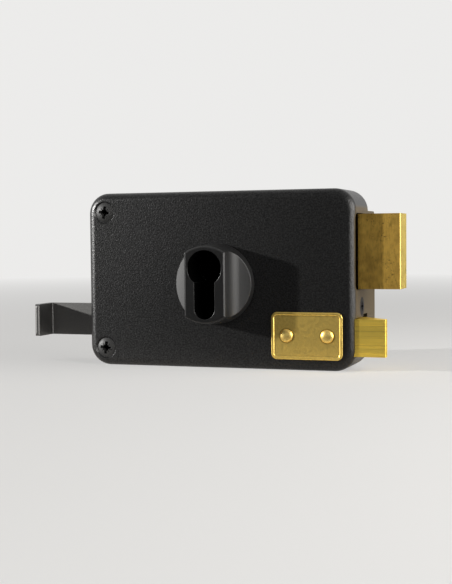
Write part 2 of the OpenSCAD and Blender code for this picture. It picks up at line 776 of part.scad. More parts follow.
// Post on the back plate that carries a flat piece, with a groove for its clip
module post(p) {
    y_seat = p[3][1] + run_gap;
    y_clip = p[3][0] - run_gap - clip_t;
    difference() {
        union() {
            rod_y(p[0], p[1], p[2] + shoulder_extra, [y_seat, y_plate]);
            rod_y(p[0], p[1], p[2], [y_clip - pin_end, y_seat]);
            tenon(p);
        }
        difference() {
            rod_y(p[0], p[1], p[2] + cut, [y_clip, y_clip + clip_t]);
            rod_y(p[0], p[1], p[2] - clip_groove, [y_clip, y_clip + clip_t]);
        }
    }
}

module deadbolt_post() {
    color("#8f9192") post(bolt_post);
}

module slide_post() {
    color("#8f9192") post(guide_post);
}

module lever_post() {
    color("#8f9192") post(pivot_post);
}

module retaining_clips() {
    color("#77797a") for (p = [bolt_post, guide_post, pivot_post]) {
        y_clip = p[3][0] - run_gap - clip_t;
        bore_r = p[2] - clip_groove + seat_clear;
        difference() {
            rod_y(p[0], p[1], p[2] + clip_wide, [y_clip + seat_clear, y_clip + clip_t - seat_clear]);
            rod_y(p[0], p[1], bore_r, [y_clip - cut, y_clip + clip_t + cut]);
            translate([p[0], 0, p[1]])
                box([-bore_r * clip_mouth, bore_r * clip_mouth], [y_clip - cut, y_clip + clip_t + cut],
                    [0, p[2] + clip_wide + cut]);
        }
    }
}

module detent_spring() {
    z = tail_z[1];
    under = [
        [anchor_x[0], anchor_z[1]],
        [anchor_x[1] + 1, anchor_z[1]],
        [nib_x - nib_half, z + nib_lift],
        [nib_x, z - nib_depth],
        [nib_x + nib_half, z + nib_lift],
        [nib_x + nib_half + leaf_turn_l, z + nib_lift + leaf_turn_up],
    ];
    over = [for (i = [len(under) - 1 : -1 : 0]) under[i] + [0, leaf_t]];
    color("#c2c4c5") difference() {
        along_y(leaf_y) polygon(concat(under, over));
        translate([(anchor_x[0] + anchor_x[1]) / 2, y_cam, anchor_z[1] - cut])
            cylinder(r = detent_screw_r + hole_clear, h = leaf_t + 2 * cut);
    }
}

module detent_anchor() {
    color("#8f9192") difference() {
        union() {
            box(anchor_x, [leaf_y[0], y_plate], anchor_z);
            plate_tongue(anchor_tongue_x, anchor_tongue_z);
        }
        translate([(anchor_x[0] + anchor_x[1]) / 2, y_cam, anchor_z[0] - cut])
            cylinder(r = detent_screw_r + seat_clear, h = anchor_z[1] - anchor_z[0] + 2 * cut);
    }
}

module detent_screw() {
    z_seat = anchor_z[1] + leaf_t;
    color("#9a9c9d") translate([(anchor_x[0] + anchor_x[1]) / 2, y_cam, 0]) difference() {
        union() {
            translate([0, 0, anchor_z[0]]) cylinder(r = detent_screw_r, h = z_seat - anchor_z[0]);
            translate([0, 0, z_seat]) cylinder(r = detent_head_r, h = detent_head_h);
        }
        box([-detent_head_r - cut, detent_head_r + cut], [-recess_w / 2, recess_w / 2],
            [z_seat + detent_head_h / 2, z_seat + detent_head_h + cut]);
    }
}

module latch_bolt() {
    color("#cfae58") difference() {
        along_z(latch_z)
            polygon([[latch_x[0], latch_y[0]], [latch_x[1], latch_y[0]], [latch_x[1], latch_y[0] + nose_w],
                     [x_fore + bevel_start, latch_y[1]], [latch_x[0], latch_y[1]]]);
        // Rebate for the slide, in the back face
        box([latch_x[0] - cut, slide_x[1] + seat_clear], [slide_y[0] - seat_clear, latch_y[1] + cut],
            [slide_z[0] - seat_clear, slide_z[1] + seat_clear]);
        rod_x_at(spring_y, latch_z_mid, rod_r + seat_clear, [latch_x[0] - cut, rod_x[1] + seat_clear]);
        for (s = [-1, 1])
            rod_y(latch_rivet_x, latch_z_mid + s * latch_rivet_dz, latch_rivet_r + seat_clear,
                  [slide_y[0] - latch_rivet_depth - seat_clear, slide_y[0] + cut]);
    }
}

module latch_slide() {
    pin_r = lever_pin_r + slide_clear;
    color("#a7a9aa") difference() {
        along_y(slide_y) difference() {
            union() {
                translate([slide_step_x, slide_z[0]]) square([slide_x[1] - slide_step_x, slide_h]);
                translate([slide_x[0], pull_z[0]]) square([slide_x[1] - slide_x[0], slide_z[1] - pull_z[0]]);
            }
            slot_2d([slide_post_x, slide_post_x + latch_out], latch_z_mid, slide_post_r + slide_clear);
            // Upright slot for the retractor's pin
            translate([lever_pin_x - pin_r, lever_pin_z_low - pin_r - slide_clear])
                square([2 * pin_r, lever_pin_z - lever_pin_z_low + 2 * (pin_r + slide_clear)]);
        }
        for (s = [-1, 1])
            rod_y(latch_rivet_x, latch_z_mid + s * latch_rivet_dz, latch_rivet_r + seat_clear,
                  [slide_y[0] - cut, slide_y[1] + cut]);
        for (x = pull_rivet_x)
            rod_y(x, pull_rivet_z, pull_rivet_r + seat_clear, [slide_y[0] - cut, slide_y[1] + cut]);
    }
}

module latch_rivets() {
    color("#b7b9ba") for (s = [-1, 1])
        rod_y(latch_rivet_x, latch_z_mid + s * latch_rivet_dz, latch_rivet_r,
              [slide_y[0] - latch_rivet_depth, slide_y[1]]);
}

// Middle of the spring's wire after a number of turns: the end turns lie close, the others are even
function spring_run(turn) =
    let (open_pitch = (spring_x[1] - spring_x[0] - 2 * end_pitch) / (spring_turns - 2))
    turn < 1 ? turn * end_pitch
    : turn > spring_turns - 1 ? spring_x[1] - spring_x[0] - (spring_turns - turn) * end_pitch
    : end_pitch + (turn - 1) * open_pitch;
function spring_point(turn) =
    [spring_x[0] + spring_run(turn), spring_y + spring_r * cos(360 * turn), latch_z_mid + spring_r * sin(360 * turn)];
function spring_outward(turn) = [0, cos(360 * turn), sin(360 * turn)];
function spring_ring(turn) =
    let (p = spring_point(turn))
    [for (k = [0 : wire_sides - 1])
        p + wire_r * (cos(360 * k / wire_sides) * spring_outward(turn) + [sin(360 * k / wire_sides), 0, 0])];

// Faces of a tube of rings, with a fan over each end
function tube_faces(rings, sides) = concat(
    [for (i = [0 : rings - 2], k = [0 : sides - 1]) [i * sides + k, (i + 1) * sides + k, i * sides + (k + 1) % sides]],
    [for (i = [0 : rings - 2], k = [0 : sides - 1])
        [i * sides + (k + 1) % sides, (i + 1) * sides + k, (i + 1) * sides + (k + 1) % sides]],
    [for (k = [1 : sides - 2]) [0, k, k + 1]],
    [for (k = [1 : sides - 2]) [(rings - 1) * sides, (rings - 1) * sides + k + 1, (rings - 1) * sides + k]]);

// Least gap between the wire and the turns beside it
function spring_gap() =
    let (n = spring_turns * rings_per_turn, p = [for (i = [0 : n]) spring_point(i / rings_per_turn)])
    min([for (i = [0 : n], j = [i + rings_per_turn / 2 : 1 : n]) norm(p[i] - p[j])]) - 2 * wire_r;

module latch_spring() {
    n = spring_turns * rings_per_turn;
    echo(latch_spring_least_gap = spring_gap());
    color("#b9bbbc")
        polyhedron(points = [for (i = [0 : n]) each spring_ring(i / rings_per_turn)],
                   faces = tube_faces(n + 1, wire_sides));
}

module spring_rod() {
    color("#b7b9ba") rod_x_at(spring_y, latch_z_mid, rod_r, rod_x);
}

module spring_bracket() {
    color("#a7a9aa") difference() {
        union() {
            box(bracket_x, [bracket_y[0], y_plate], bracket_leg_z);
            box(bracket_x, bracket_y, [bracket_leg_z[0], bracket_top]);
            plate_tongue(bracket_x, bracket_tongue_z);
        }
        rod_x_at(spring_y, latch_z_mid, rod_r + slide_clear, [bracket_x[0] - cut, bracket_x[1] + cut]);
    }
}

// Section of the pull: a bar, a lip with a round tip, and a bend with a round outside and inside
module pull_section() {
    x = pull_x[0];
    y_back = pull_y[1];
    tip_r = lip_t / 2;
    translate([x + bend_r, pull_y[0]]) square([pull_x[1] - x - bend_r, pull_t]);
    translate([x, lip_y + tip_r]) square([lip_t, y_back - bend_r - lip_y - tip_r]);
    translate([x + bend_r, y_back - bend_r]) circle(bend_r);
    translate([x + tip_r, lip_y + tip_r]) circle(tip_r);
    difference() {
        translate([x + lip_t, pull_y[0] - inner_bend_r]) square(inner_bend_r);
        translate([x + lip_t + inner_bend_r, pull_y[0] - inner_bend_r]) circle(inner_bend_r);
    }
}

module pull_handle() {
    color("#29292a") difference() {
        intersection() {
            along_z(pull_z) pull_section();
            // The lip's two free corners are round, seen from the side
            along_x(pull_x) round_rect([lip_y, pull_y[1] + 2 * lip_corner_r], pull_z, lip_corner_r);
        }
        for (x = pull_rivet_x)
            rod_y(x, pull_rivet_z, pull_rivet_r + seat_clear, [pull_y[0] - cut, pull_y[1] + cut]);
    }
}

module pull_rivets() {
    color("#b7b9ba") for (x = pull_rivet_x) {
        rod_y(x, pull_rivet_z, pull_rivet_r, [pull_y[0], slide_y[1]]);
        rod_y(x, pull_rivet_z, pull_rivet_head_r, [pull_y[0] - pull_rivet_head_h, pull_y[0]]);
    }
}

module retractor_lever() {
    hub = [pivot_x, pivot_z];
    foot = [lever_pin_x, lever_pin_z];
    color("#9da0a1") along_y(lever_y) difference() {
        union() {
            translate(hub) circle(lever_hub_r);
            bar_2d(hub, cam_tip, cam_arm_w);
            translate(cam_tip) circle(cam_arm_w / 2);
            bar_2d(hub, foot, lever_arm_w);
            translate(foot) circle(lever_foot_r);
        }
        translate(hub) circle(pivot_r + slide_clear / 4);
        translate(foot) circle(lever_pin_r + seat_clear);
    }
}

module lever_pin() {
    color("#b7b9ba") rod_y(lever_pin_x, lever_pin_z, lever_pin_r, [lever_y[0], slide_y[1] + slide_clear]);
}

casing();
back_plate();
cover_pillars();
cover_screws();
back_plate_screws();
cylinder_escutcheon();
escutcheon_screws();
cylinder_screw();
badge_plate();
badge_rivets();
deadbolt_head();
deadbolt_tail();
deadbolt_rivets();
deadbolt_post();
detent_spring();
detent_anchor();
detent_screw();
latch_bolt();
latch_slide();
latch_rivets();
latch_spring();
spring_rod();
spring_bracket();
slide_post();
pull_handle();
pull_rivets();
retractor_lever();
lever_pin();
lever_post();
retaining_clips();
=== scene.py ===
# %% [markdown]
# # A rim night latch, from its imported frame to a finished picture
# The lock is a black case for the inside face of a door. A square brass deadbolt and a brass latch leave it
# on the right, a black pull on the left draws the latch, and a collar on the front takes a profile cylinder.
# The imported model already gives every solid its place, in metres. This lesson adds what it lacks:
# rounded edges, screws and rivets with their detail, finishes, light and a camera.

# %% Load the frame
import math

import bmesh
import bpy
from mathutils import Matrix, Vector


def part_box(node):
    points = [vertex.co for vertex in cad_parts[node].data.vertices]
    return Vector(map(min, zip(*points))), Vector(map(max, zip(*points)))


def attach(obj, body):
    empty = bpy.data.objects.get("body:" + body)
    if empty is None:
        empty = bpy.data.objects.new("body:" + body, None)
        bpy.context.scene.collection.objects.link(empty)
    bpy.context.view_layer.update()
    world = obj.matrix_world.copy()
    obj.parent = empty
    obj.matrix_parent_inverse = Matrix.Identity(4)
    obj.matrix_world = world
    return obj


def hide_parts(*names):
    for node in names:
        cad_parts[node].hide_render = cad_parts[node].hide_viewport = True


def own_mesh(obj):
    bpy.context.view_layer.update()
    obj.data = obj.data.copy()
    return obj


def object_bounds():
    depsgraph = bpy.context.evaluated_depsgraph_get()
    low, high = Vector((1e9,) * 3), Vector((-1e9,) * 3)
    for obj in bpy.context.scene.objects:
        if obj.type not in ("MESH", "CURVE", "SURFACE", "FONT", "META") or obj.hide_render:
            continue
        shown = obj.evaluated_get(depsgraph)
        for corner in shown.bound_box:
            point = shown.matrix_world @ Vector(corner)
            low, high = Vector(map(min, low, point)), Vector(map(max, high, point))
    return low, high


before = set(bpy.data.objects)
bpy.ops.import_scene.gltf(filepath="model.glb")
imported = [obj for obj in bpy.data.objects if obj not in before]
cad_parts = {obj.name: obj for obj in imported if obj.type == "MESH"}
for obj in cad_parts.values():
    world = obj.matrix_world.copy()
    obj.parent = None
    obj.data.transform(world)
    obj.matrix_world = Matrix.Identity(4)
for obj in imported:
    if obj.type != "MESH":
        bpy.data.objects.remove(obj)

MM = 0.001
cad_low, cad_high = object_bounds()
print("CAD box, mm:", [round(x / MM, 1) for x in cad_high - cad_low], "nodes:", len(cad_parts))

# %% [markdown]
# ## Camera
# The picture is taken from the right of the lock, a little above its middle, with a short telephoto lens.
# A camera could be placed by eye, but a solved one is surer: the lens, place and tilt here come from the
# pixels of the case's corners and the bolts' edges, whose places in millimetres are known.

# %% Camera
CAMERA_AT = Vector((189.21, -552.32, 14.20)) * MM
CAMERA_AZIMUTH = 19.404
CAMERA_DOWN = 2.729
CAMERA_ROLL = -0.535
LENS_MM = 69.19
SENSOR_MM = 36.0
NEAREST_SEEN = 10 * MM


def new_object(name, data):
    made = bpy.data.objects.new(name, data)
    bpy.context.scene.collection.objects.link(made)
    return made


camera_data = bpy.data.cameras.new("photo_camera")
camera_data.lens = LENS_MM
camera_data.sensor_width = SENSOR_MM
camera_data.clip_start = NEAREST_SEEN
camera = new_object("photo_camera", camera_data)
bpy.context.scene.camera = camera
camera.location = CAMERA_AT
azimuth = Matrix.Rotation(math.radians(CAMERA_AZIMUTH), 4, "Z")
tilt = Matrix.Rotation(math.radians(90 - CAMERA_DOWN), 4, "X")
roll = Matrix.Rotation(math.radians(CAMERA_ROLL), 4, "Z")
camera.rotation_euler = (azimuth @ tilt @ roll).to_euler()
print("camera at, mm:", [round(x / MM, 1) for x in camera.location], "lens:", LENS_MM)

# %% [markdown]
# ## Helpers for node trees
# Materials, the world and Geometry Nodes are all trees of nodes. One helper adds a node, sets its options
# and fills its inputs, either with a plain value or with another node's output, so each tree reads from top
# to bottom. The others wrap what is used most: to map a value from one range to another, to calculate, to
# take a place apart into X, Y and Z, and to start from an empty tree.

# %% Node helpers
def add(tree, kind, inputs=None, **options):
    made = tree.nodes.new(kind)
    for option, value in options.items():
        setattr(made, option, value)
    for socket, value in (inputs or {}).items():
        if isinstance(value, bpy.types.NodeSocket):
            tree.links.new(value, made.inputs[socket])
        else:
            made.inputs[socket].default_value = value
    return made


def share(tree, value, low, high, to_low, to_high):
    made = add(tree, "ShaderNodeMapRange", {"Value": value, "From Min": low, "From Max": high,
                                            "To Min": to_low, "To Max": to_high})
    return made.outputs["Result"]


def calc(tree, operation, first, second=0.0):
    return add(tree, "ShaderNodeMath", {0: first, 1: second}, operation=operation).outputs[0]


def parts(tree, place):
    return add(tree, "ShaderNodeSeparateXYZ", {0: place}).outputs


def bare_tree(owner):
    owner.use_nodes = True
    owner.node_tree.nodes.clear()
    return owner.node_tree


print("node helpers ready")

# %% [markdown]
# ## Floor, backdrop and light
# The lock stands on its lower edge on a plain pale floor. A floor plane alone shows a hard horizon, so the
# floor fades into the backdrop's colour away from the lock, and keeps the lock's shadow near it.
# A black front mirrors what lies before it, and a wide white floor would turn it grey. So to every ray but
# the camera's, the floor is pale only close to the lock and dark further in front of it.

# %% Floor
BACKDROP = (0.84, 0.835, 0.825, 1)
FLOOR_PALE = (0.66, 0.655, 0.645, 1)
FLOOR_RADIUS = 5.0
FLOOR_SIDES = 96
FADE_FROM = 0.30
FADE_TO = 1.4
NEAR_GLOW = 0.45
BOUNCE_NEAR = (0.90, 0.87, 0.83, 1)
BOUNCE_FAR = (0.12, 0.12, 0.12, 1)
BOUNCE_FROM = -35 * MM
BOUNCE_TO = -75 * MM

floor_mesh = bpy.data.meshes.new("floor")
floor_shape = bmesh.new()
bmesh.ops.create_circle(floor_shape, cap_ends=True, segments=FLOOR_SIDES, radius=FLOOR_RADIUS)
floor_shape.to_mesh(floor_mesh)
floor_shape.free()
floor_mesh.transform(Matrix.Translation((0, 0, cad_low.z)))
floor = new_object("floor", floor_mesh)

floor_finish = bpy.data.materials.new("pale_floor")
tree = bare_tree(floor_finish)
place = add(tree, "ShaderNodeTexCoord").outputs["Object"]
distance = add(tree, "ShaderNodeVectorMath", {0: place}, operation="LENGTH").outputs["Value"]
far = share(tree, distance, FADE_FROM, FADE_TO, NEAR_GLOW, 1.0)
matt = add(tree, "ShaderNodeBsdfDiffuse", {"Color": FLOOR_PALE})
glow = add(tree, "ShaderNodeEmission", {"Color": BACKDROP})
near_far = add(tree, "ShaderNodeMixShader", {0: far, 1: matt.outputs[0], 2: glow.outputs[0]})
ahead = share(tree, parts(tree, place)["Y"], BOUNCE_FROM, BOUNCE_TO, 0.0, 1.0)
bounce = add(tree, "ShaderNodeValToRGB", {"Fac": ahead})
bounce.color_ramp.elements[0].color = BOUNCE_NEAR
bounce.color_ramp.elements[1].color = BOUNCE_FAR
dim = add(tree, "ShaderNodeBsdfDiffuse", {"Color": bounce.outputs["Color"]})
seen = add(tree, "ShaderNodeLightPath").outputs["Is Camera Ray"]
both = add(tree, "ShaderNodeMixShader", {0: seen, 1: dim.outputs[0], 2: near_far.outputs[0]})
add(tree, "ShaderNodeOutputMaterial", {"Surface": both.outputs[0]})
floor_mesh.materials.append(floor_finish)
print("floor at, mm:", round(cad_low.z / MM, 1))

# %% [markdown]
# The cut-out for the cylinder goes right through the lock, and on a door it opens into the dark bore behind.
# Here it would show the pale backdrop. A door could be modelled, but a matt black card in the cut-out's own
# outline paints in the shade of that bore instead, as part of the stage. Most of a circle, for the plug, and
# half of a smaller one, for the lobe below it, make that outline.

# %% Keyhole card
PLUG_R = 8.65 * MM
LOBE_R = 5.2 * MM
LOBE_DROP = 19.5 * MM
CARD_STEPS = 48
CARD_Y = -28.0 * MM
BORE_SHADE_BLACK = (0.002, 0.002, 0.002, 1)

meet = math.asin(LOBE_R / PLUG_R)
card_ring = []
for step in range(CARD_STEPS + 1):
    angle = meet - math.pi / 2 + (2 * math.pi - 2 * meet) * step / CARD_STEPS
    card_ring.append((PLUG_R * math.cos(angle), PLUG_R * math.sin(angle)))
for step in range(CARD_STEPS + 1):
    angle = math.pi + math.pi * step / CARD_STEPS
    card_ring.append((LOBE_R * math.cos(angle), LOBE_R * math.sin(angle) - LOBE_DROP))
card_mesh = bpy.data.meshes.new("bore_shade_card")
card_mesh.from_pydata([(x, CARD_Y, z) for x, z in card_ring], [], [range(len(card_ring))])
card = new_object("bore_shade_card", card_mesh)
# the card's black is painted shade: the dark of the bore behind the cut-out
card_finish = bpy.data.materials.new("dark_bore")
tree = bare_tree(card_finish)
black = add(tree, "ShaderNodeBsdfDiffuse", {"Color": BORE_SHADE_BLACK})
add(tree, "ShaderNodeOutputMaterial", {"Surface": black.outputs[0]})
card_mesh.materials.append(card_finish)
print("card points:", len(card_ring))

# %% [markdown]
# The backdrop is the world: pale to the camera, and pale behind the lock. Brass and black paint look flat
# when the same white surrounds them on every side. So in mirrored rays the room in front of the lock is
# dimmer, and it is darkest on the left, where only a lamp should show. The world's soft light is kept low.

# %% World
STUDIO_LEFT = 0.05
STUDIO_FRONT = 0.42
LEFT_UP_TO = -0.45
FRONT_FROM = -0.20
ROOM_UP_TO = -0.75
BACKDROP_FROM = 0.25
SOFT_LIGHT = (0.05, 0.05, 0.051, 1)
WHITE = (1, 1, 1, 1)

world = bpy.data.worlds.new("studio")
bpy.context.scene.world = world
tree = bare_tree(world)
towards = parts(tree, add(tree, "ShaderNodeTexCoord").outputs["Generated"])
behind_lock = share(tree, towards["Y"], ROOM_UP_TO, BACKDROP_FROM, 0.0, 1.0)
room = share(tree, towards["X"], LEFT_UP_TO, FRONT_FROM, STUDIO_LEFT, STUDIO_FRONT)
path = add(tree, "ShaderNodeLightPath").outputs
reflected = calc(tree, "MAXIMUM", path["Is Glossy Ray"], path["Is Transmission Ray"])
soft = add(tree, "ShaderNodeBackground", {"Color": SOFT_LIGHT})
dark = add(tree, "ShaderNodeBackground", {"Color": WHITE, "Strength": room})
pale = add(tree, "ShaderNodeBackground", {"Color": BACKDROP})
mirrored = add(tree, "ShaderNodeMixShader", {0: behind_lock, 1: dark.outputs[0], 2: pale.outputs[0]})
lit = add(tree, "ShaderNodeMixShader", {0: reflected, 1: soft.outputs[0], 2: mirrored.outputs[0]})
seen = path["Is Camera Ray"]
shown = add(tree, "ShaderNodeMixShader", {0: seen, 1: lit.outputs[0], 2: pale.outputs[0]})
add(tree, "ShaderNodeOutputWorld", {0: shown.outputs[0]})
bpy.context.scene.view_settings.view_transform = "Standard"
print("world:", world.name)

# %% [markdown]
# ## Lamps
# The light rakes over the front from the left, a little from above: the lip of the pull throws its shadow
# along the bar, and the collar throws one across the case. A small lamp far off gives those shadows their
# edges. A larger and weaker one on the right lights the bolts' ends and the rounded edge beside them.

# %% Lamps
KEY_TOWARDS = (-1.0, -0.550, 0.245)
KEY_DISTANCE = 1.50
KEY_SIDE = 0.05
KEY_POWER = 32.0
KEY_COLOUR = (1.0, 0.99, 0.97)
SIDE_TOWARDS = (1.0, -0.18, 0.12)
SIDE_DISTANCE = 0.60
SIDE_WIDTH = 0.85
SIDE_HEIGHT = 0.60
SIDE_POWER = 11.5
SIDE_COLOUR = (1.0, 0.98, 0.95)

case_low, case_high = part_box("casing")
case_centre = (case_low + case_high) / 2


def softbox(name, towards, distance, width, height, power, colour):
    data = bpy.data.lights.new(name, "AREA")
    data.shape = "RECTANGLE"
    data.size = width
    data.size_y = height
    data.energy = power
    data.color = colour
    lamp = new_object(name, data)
    away = Vector(towards).normalized()
    lamp.location = case_centre + away * distance
    lamp.rotation_euler = away.to_track_quat("Z", "Y").to_euler()


softbox("key_left", KEY_TOWARDS, KEY_DISTANCE, KEY_SIDE, KEY_SIDE, KEY_POWER, KEY_COLOUR)
softbox("side_right", SIDE_TOWARDS, SIDE_DISTANCE, SIDE_WIDTH, SIDE_HEIGHT, SIDE_POWER, SIDE_COLOUR)

# %% [markdown]
# ## Helpers for finishes
# Photographs of paint and metal could be wrapped on, but noise on Object coordinates needs none and keeps
# its scale on every piece. Each finish starts from the Principled shader. The helpers make a noise, a value
# or a colour that follows it, a mix with another colour, a bump and the distance from an axis along Y.
# The Mix node repeats its socket names for each kind of data, so the sockets for colours go by number.

# %% Finish helpers
PAINT = 0.0
METAL = 1.0
NOISE_LOW = 0.3
NOISE_HIGH = 0.7
MIX_AMOUNT = 0
MIX_FIRST = 6
MIX_SECOND = 7
MIX_RESULT = 2


def start_finish(name, metallic):
    finish = bpy.data.materials.new(name)
    finish.use_nodes = True
    tree = finish.node_tree
    shader = tree.nodes["Principled BSDF"]
    shader.inputs["Metallic"].default_value = metallic
    return finish, tree, shader, add(tree, "ShaderNodeTexCoord").outputs["Object"]


def feed(tree, shader, inputs):
    for socket, value in inputs.items():
        tree.links.new(value, shader.inputs[socket])


def noise(tree, place, size, detail=2.0, stretch=None):
    if stretch:
        place = add(tree, "ShaderNodeMapping", {"Vector": place, "Scale": stretch}).outputs[0]
    return add(tree, "ShaderNodeTexNoise", {"Vector": place, "Scale": 1 / size, "Detail": detail}).outputs[0]


def spread(tree, value, to_low, to_high):
    return share(tree, value, NOISE_LOW, NOISE_HIGH, to_low, to_high)


def where_over(tree, value, starts, full, most):
    return share(tree, value, starts, full, 0.0, most)


def colours(tree, value, low, high, low_at=NOISE_LOW, high_at=NOISE_HIGH):
    ramp = add(tree, "ShaderNodeValToRGB", {"Fac": value})
    for element, at, colour in zip(ramp.color_ramp.elements, (low_at, high_at), (low, high)):
        element.position = at
        element.color = (*colour, 1)
    return ramp.outputs["Color"]


def mixed(tree, tint, amount, other):
    mix = add(tree, "ShaderNodeMix", data_type="RGBA")
    tree.links.new(amount, mix.inputs[MIX_AMOUNT])
    tree.links.new(tint, mix.inputs[MIX_FIRST])
    mix.inputs[MIX_SECOND].default_value = (*other, 1)
    return mix.outputs[MIX_RESULT]


def bumped(tree, height, strength, depth, under=None):
    made = add(tree, "ShaderNodeBump", {"Height": height, "Strength": strength, "Distance": depth})
    if under is not None:
        tree.links.new(under, made.inputs["Normal"])
    return made.outputs[0]


def from_axis(tree, aside, above):
    pair = add(tree, "ShaderNodeCombineXYZ", {0: aside, 1: above}).outputs[0]
    return add(tree, "ShaderNodeVectorMath", {0: pair}, operation="LENGTH").outputs["Value"]


print("finish helpers ready")

# %% [markdown]
# ## Grained black
# The case is die cast and coated with a grained black powder. Noise gives the grain, and a share of Voronoi
# cells its small round lumps. The same noise varies the gloss, so that the grain also shows where the light
# is even. The gloss falls from left to right, as it does in the photograph.
# The grain is softer on the left edge. The fore-edge has none, and its plain coat is painted brown: a
# painted reflection of warm wood beside it.

# %% Grained black
GRAIN_SIZE = 0.7 * MM
GRAIN_DEPTH = 0.11 * MM
CELL_SHARE = 0.35
SOFT_GRAIN = 0.3
SOFT_FROM = case_low.x + 1.0 * MM
SOFT_TO = case_low.x + 4.5 * MM
GRAIN_FADES = case_high.x - 1.4 * MM
GRAIN_ENDS = case_high.x - 0.4 * MM
COAT_DARK = (0.003, 0.003, 0.0031)
COAT_PALE = (0.005, 0.005, 0.0051)
GLOSS_REACH = 50 * MM
GLOSS_LEFT = 0.52
GLOSS_RIGHT = 0.30
FLECK_LOW = 0.35
FLECK_HIGH = 0.65
FLECK_DIM = 0.70
FLECK_BRIGHT = 1.30
EDGE_STARTS = case_high.x - 0.3 * MM
EDGE_BLEND = 0.25 * MM
EDGE_REFLECTED_BROWN = (0.052, 0.037, 0.016)
EDGE_GLOSS = 0.08

grained_black, tree, shader, place = start_finish("grained_black", PAINT)
crumbs = noise(tree, place, GRAIN_SIZE)
cells = add(tree, "ShaderNodeTexVoronoi", {"Vector": place, "Scale": 1 / GRAIN_SIZE}).outputs["Distance"]
grain = calc(tree, "ADD", calc(tree, "MULTIPLY", cells, CELL_SHARE), crumbs)
across = parts(tree, place)["X"]
soft_left = share(tree, across, SOFT_FROM, SOFT_TO, SOFT_GRAIN, 1.0)
on_front = calc(tree, "MULTIPLY", share(tree, across, GRAIN_FADES, GRAIN_ENDS, 1.0, 0.0), soft_left)
bump = bumped(tree, calc(tree, "MULTIPLY", grain, on_front), strength=1.0, depth=GRAIN_DEPTH)
# on the fore-edge a brown tint is mixed in: a painted reflection of warm wood
on_edge = share(tree, across, EDGE_STARTS, EDGE_STARTS + EDGE_BLEND, 0.0, 1.0)
tint = mixed(tree, colours(tree, crumbs, COAT_DARK, COAT_PALE), on_edge, EDGE_REFLECTED_BROWN)
flecks = share(tree, crumbs, FLECK_LOW, FLECK_HIGH, FLECK_DIM, FLECK_BRIGHT)
gloss = share(tree, across, -GLOSS_REACH, GLOSS_REACH, GLOSS_LEFT, GLOSS_RIGHT)
gloss = share(tree, on_edge, 0.0, 1.0, calc(tree, "MULTIPLY", gloss, flecks), EDGE_GLOSS)
rough = spread(tree, crumbs, to_low=0.32, to_high=0.38)
feed(tree, shader, {"Base Color": tint, "Roughness": rough, "Specular IOR Level": gloss, "Normal": bump})
print("finish:", grained_black.name)

# %% [markdown]
# ## Satin black
# The collar is coated smooth and satin over the fine upright lines of the tool that cut it, so one noise is
# drawn out along them. Its two scoops are rougher, and hollow by less than a millimetre: a bump that rises
# towards the rib, by the square, is enough for so little.
# The walls of the cut-out lie in the dark: they stay matt, and their colour is painted near black as shade.
# A circle, a slot and a smaller circle find them.

# %% Satin black
RIB_SIDE = 10.5 * MM
HOLLOW_DEPTH = 0.8 * MM
HOLE_MARGIN = 0.03 * MM
SATIN_DARK = (0.005, 0.005, 0.0051)
SATIN_PALE = (0.008, 0.008, 0.0081)
HOLE_SHADE_BLACK = (0.0015, 0.0015, 0.0015)
RIB_GLOSS = 0.33
SCOOP_GLOSS = 0.50
SCOOP_ROUGHER = 0.18

collar_low, collar_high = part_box("cylinder_escutcheon")
collar_side = collar_high.x - 0.3 * MM
scoop_from = collar_low.y + 0.1 * MM
scoop_to = collar_low.y + 0.6 * MM

satin_black, tree, shader, place = start_finish("satin_black", PAINT)
lines = noise(tree, place, size=0.35 * MM, stretch=(1.0, 1.0, 0.08))
specks = noise(tree, place, size=0.45 * MM, detail=3.0)
spot = parts(tree, place)
to_side = calc(tree, "ABSOLUTE", spot["X"])
by_rib = share(tree, to_side, RIB_SIDE, collar_side, 1.0, 0.0)
hollow = bumped(tree, calc(tree, "MULTIPLY", by_rib, by_rib), strength=1.0, depth=HOLLOW_DEPTH)
bump = bumped(tree, calc(tree, "ADD", lines, specks), strength=0.3, depth=0.04 * MM, under=hollow)

in_round = calc(tree, "LESS_THAN", from_axis(tree, spot["X"], spot["Z"]), PLUG_R + HOLE_MARGIN)
below = calc(tree, "LESS_THAN", spot["Z"], 0.0)
between = calc(tree, "MULTIPLY", below, calc(tree, "GREATER_THAN", spot["Z"], -LOBE_DROP))
in_slot = calc(tree, "MULTIPLY", calc(tree, "LESS_THAN", to_side, LOBE_R + HOLE_MARGIN), between)
over_lobe = calc(tree, "ADD", spot["Z"], LOBE_DROP)
in_lobe = calc(tree, "LESS_THAN", from_axis(tree, spot["X"], over_lobe), LOBE_R + HOLE_MARGIN)
in_hole = calc(tree, "MAXIMUM", calc(tree, "MAXIMUM", in_round, in_slot), in_lobe)

in_scoop = share(tree, spot["Y"], scoop_from, scoop_to, 0.0, 1.0)
# in the cut-out the colour is painted near black: painted shade
tint = mixed(tree, colours(tree, specks, SATIN_DARK, SATIN_PALE), in_hole, HOLE_SHADE_BLACK)
gloss = share(tree, in_hole, 0.0, 1.0, share(tree, in_scoop, 0.0, 1.0, RIB_GLOSS, SCOOP_GLOSS), 0.0)
rough = spread(tree, specks, to_low=0.28, to_high=0.33)
rough = calc(tree, "ADD", rough, calc(tree, "MULTIPLY", in_scoop, SCOOP_ROUGHER))
rough = calc(tree, "MAXIMUM", rough, in_hole)
feed(tree, shader, {"Base Color": tint, "Roughness": rough, "Specular IOR Level": gloss, "Normal": bump})
print("finish:", satin_black.name)

# %% [markdown]
# The pull is a steel bar that was blackened, not painted. Light slides along it as on metal, so it is a
# metal of a dark colour, with specks in its colour, roughness and surface.

# %% Blackened bar
BAR_DARK = (0.135, 0.133, 0.13)
BAR_PALE = (0.168, 0.166, 0.163)

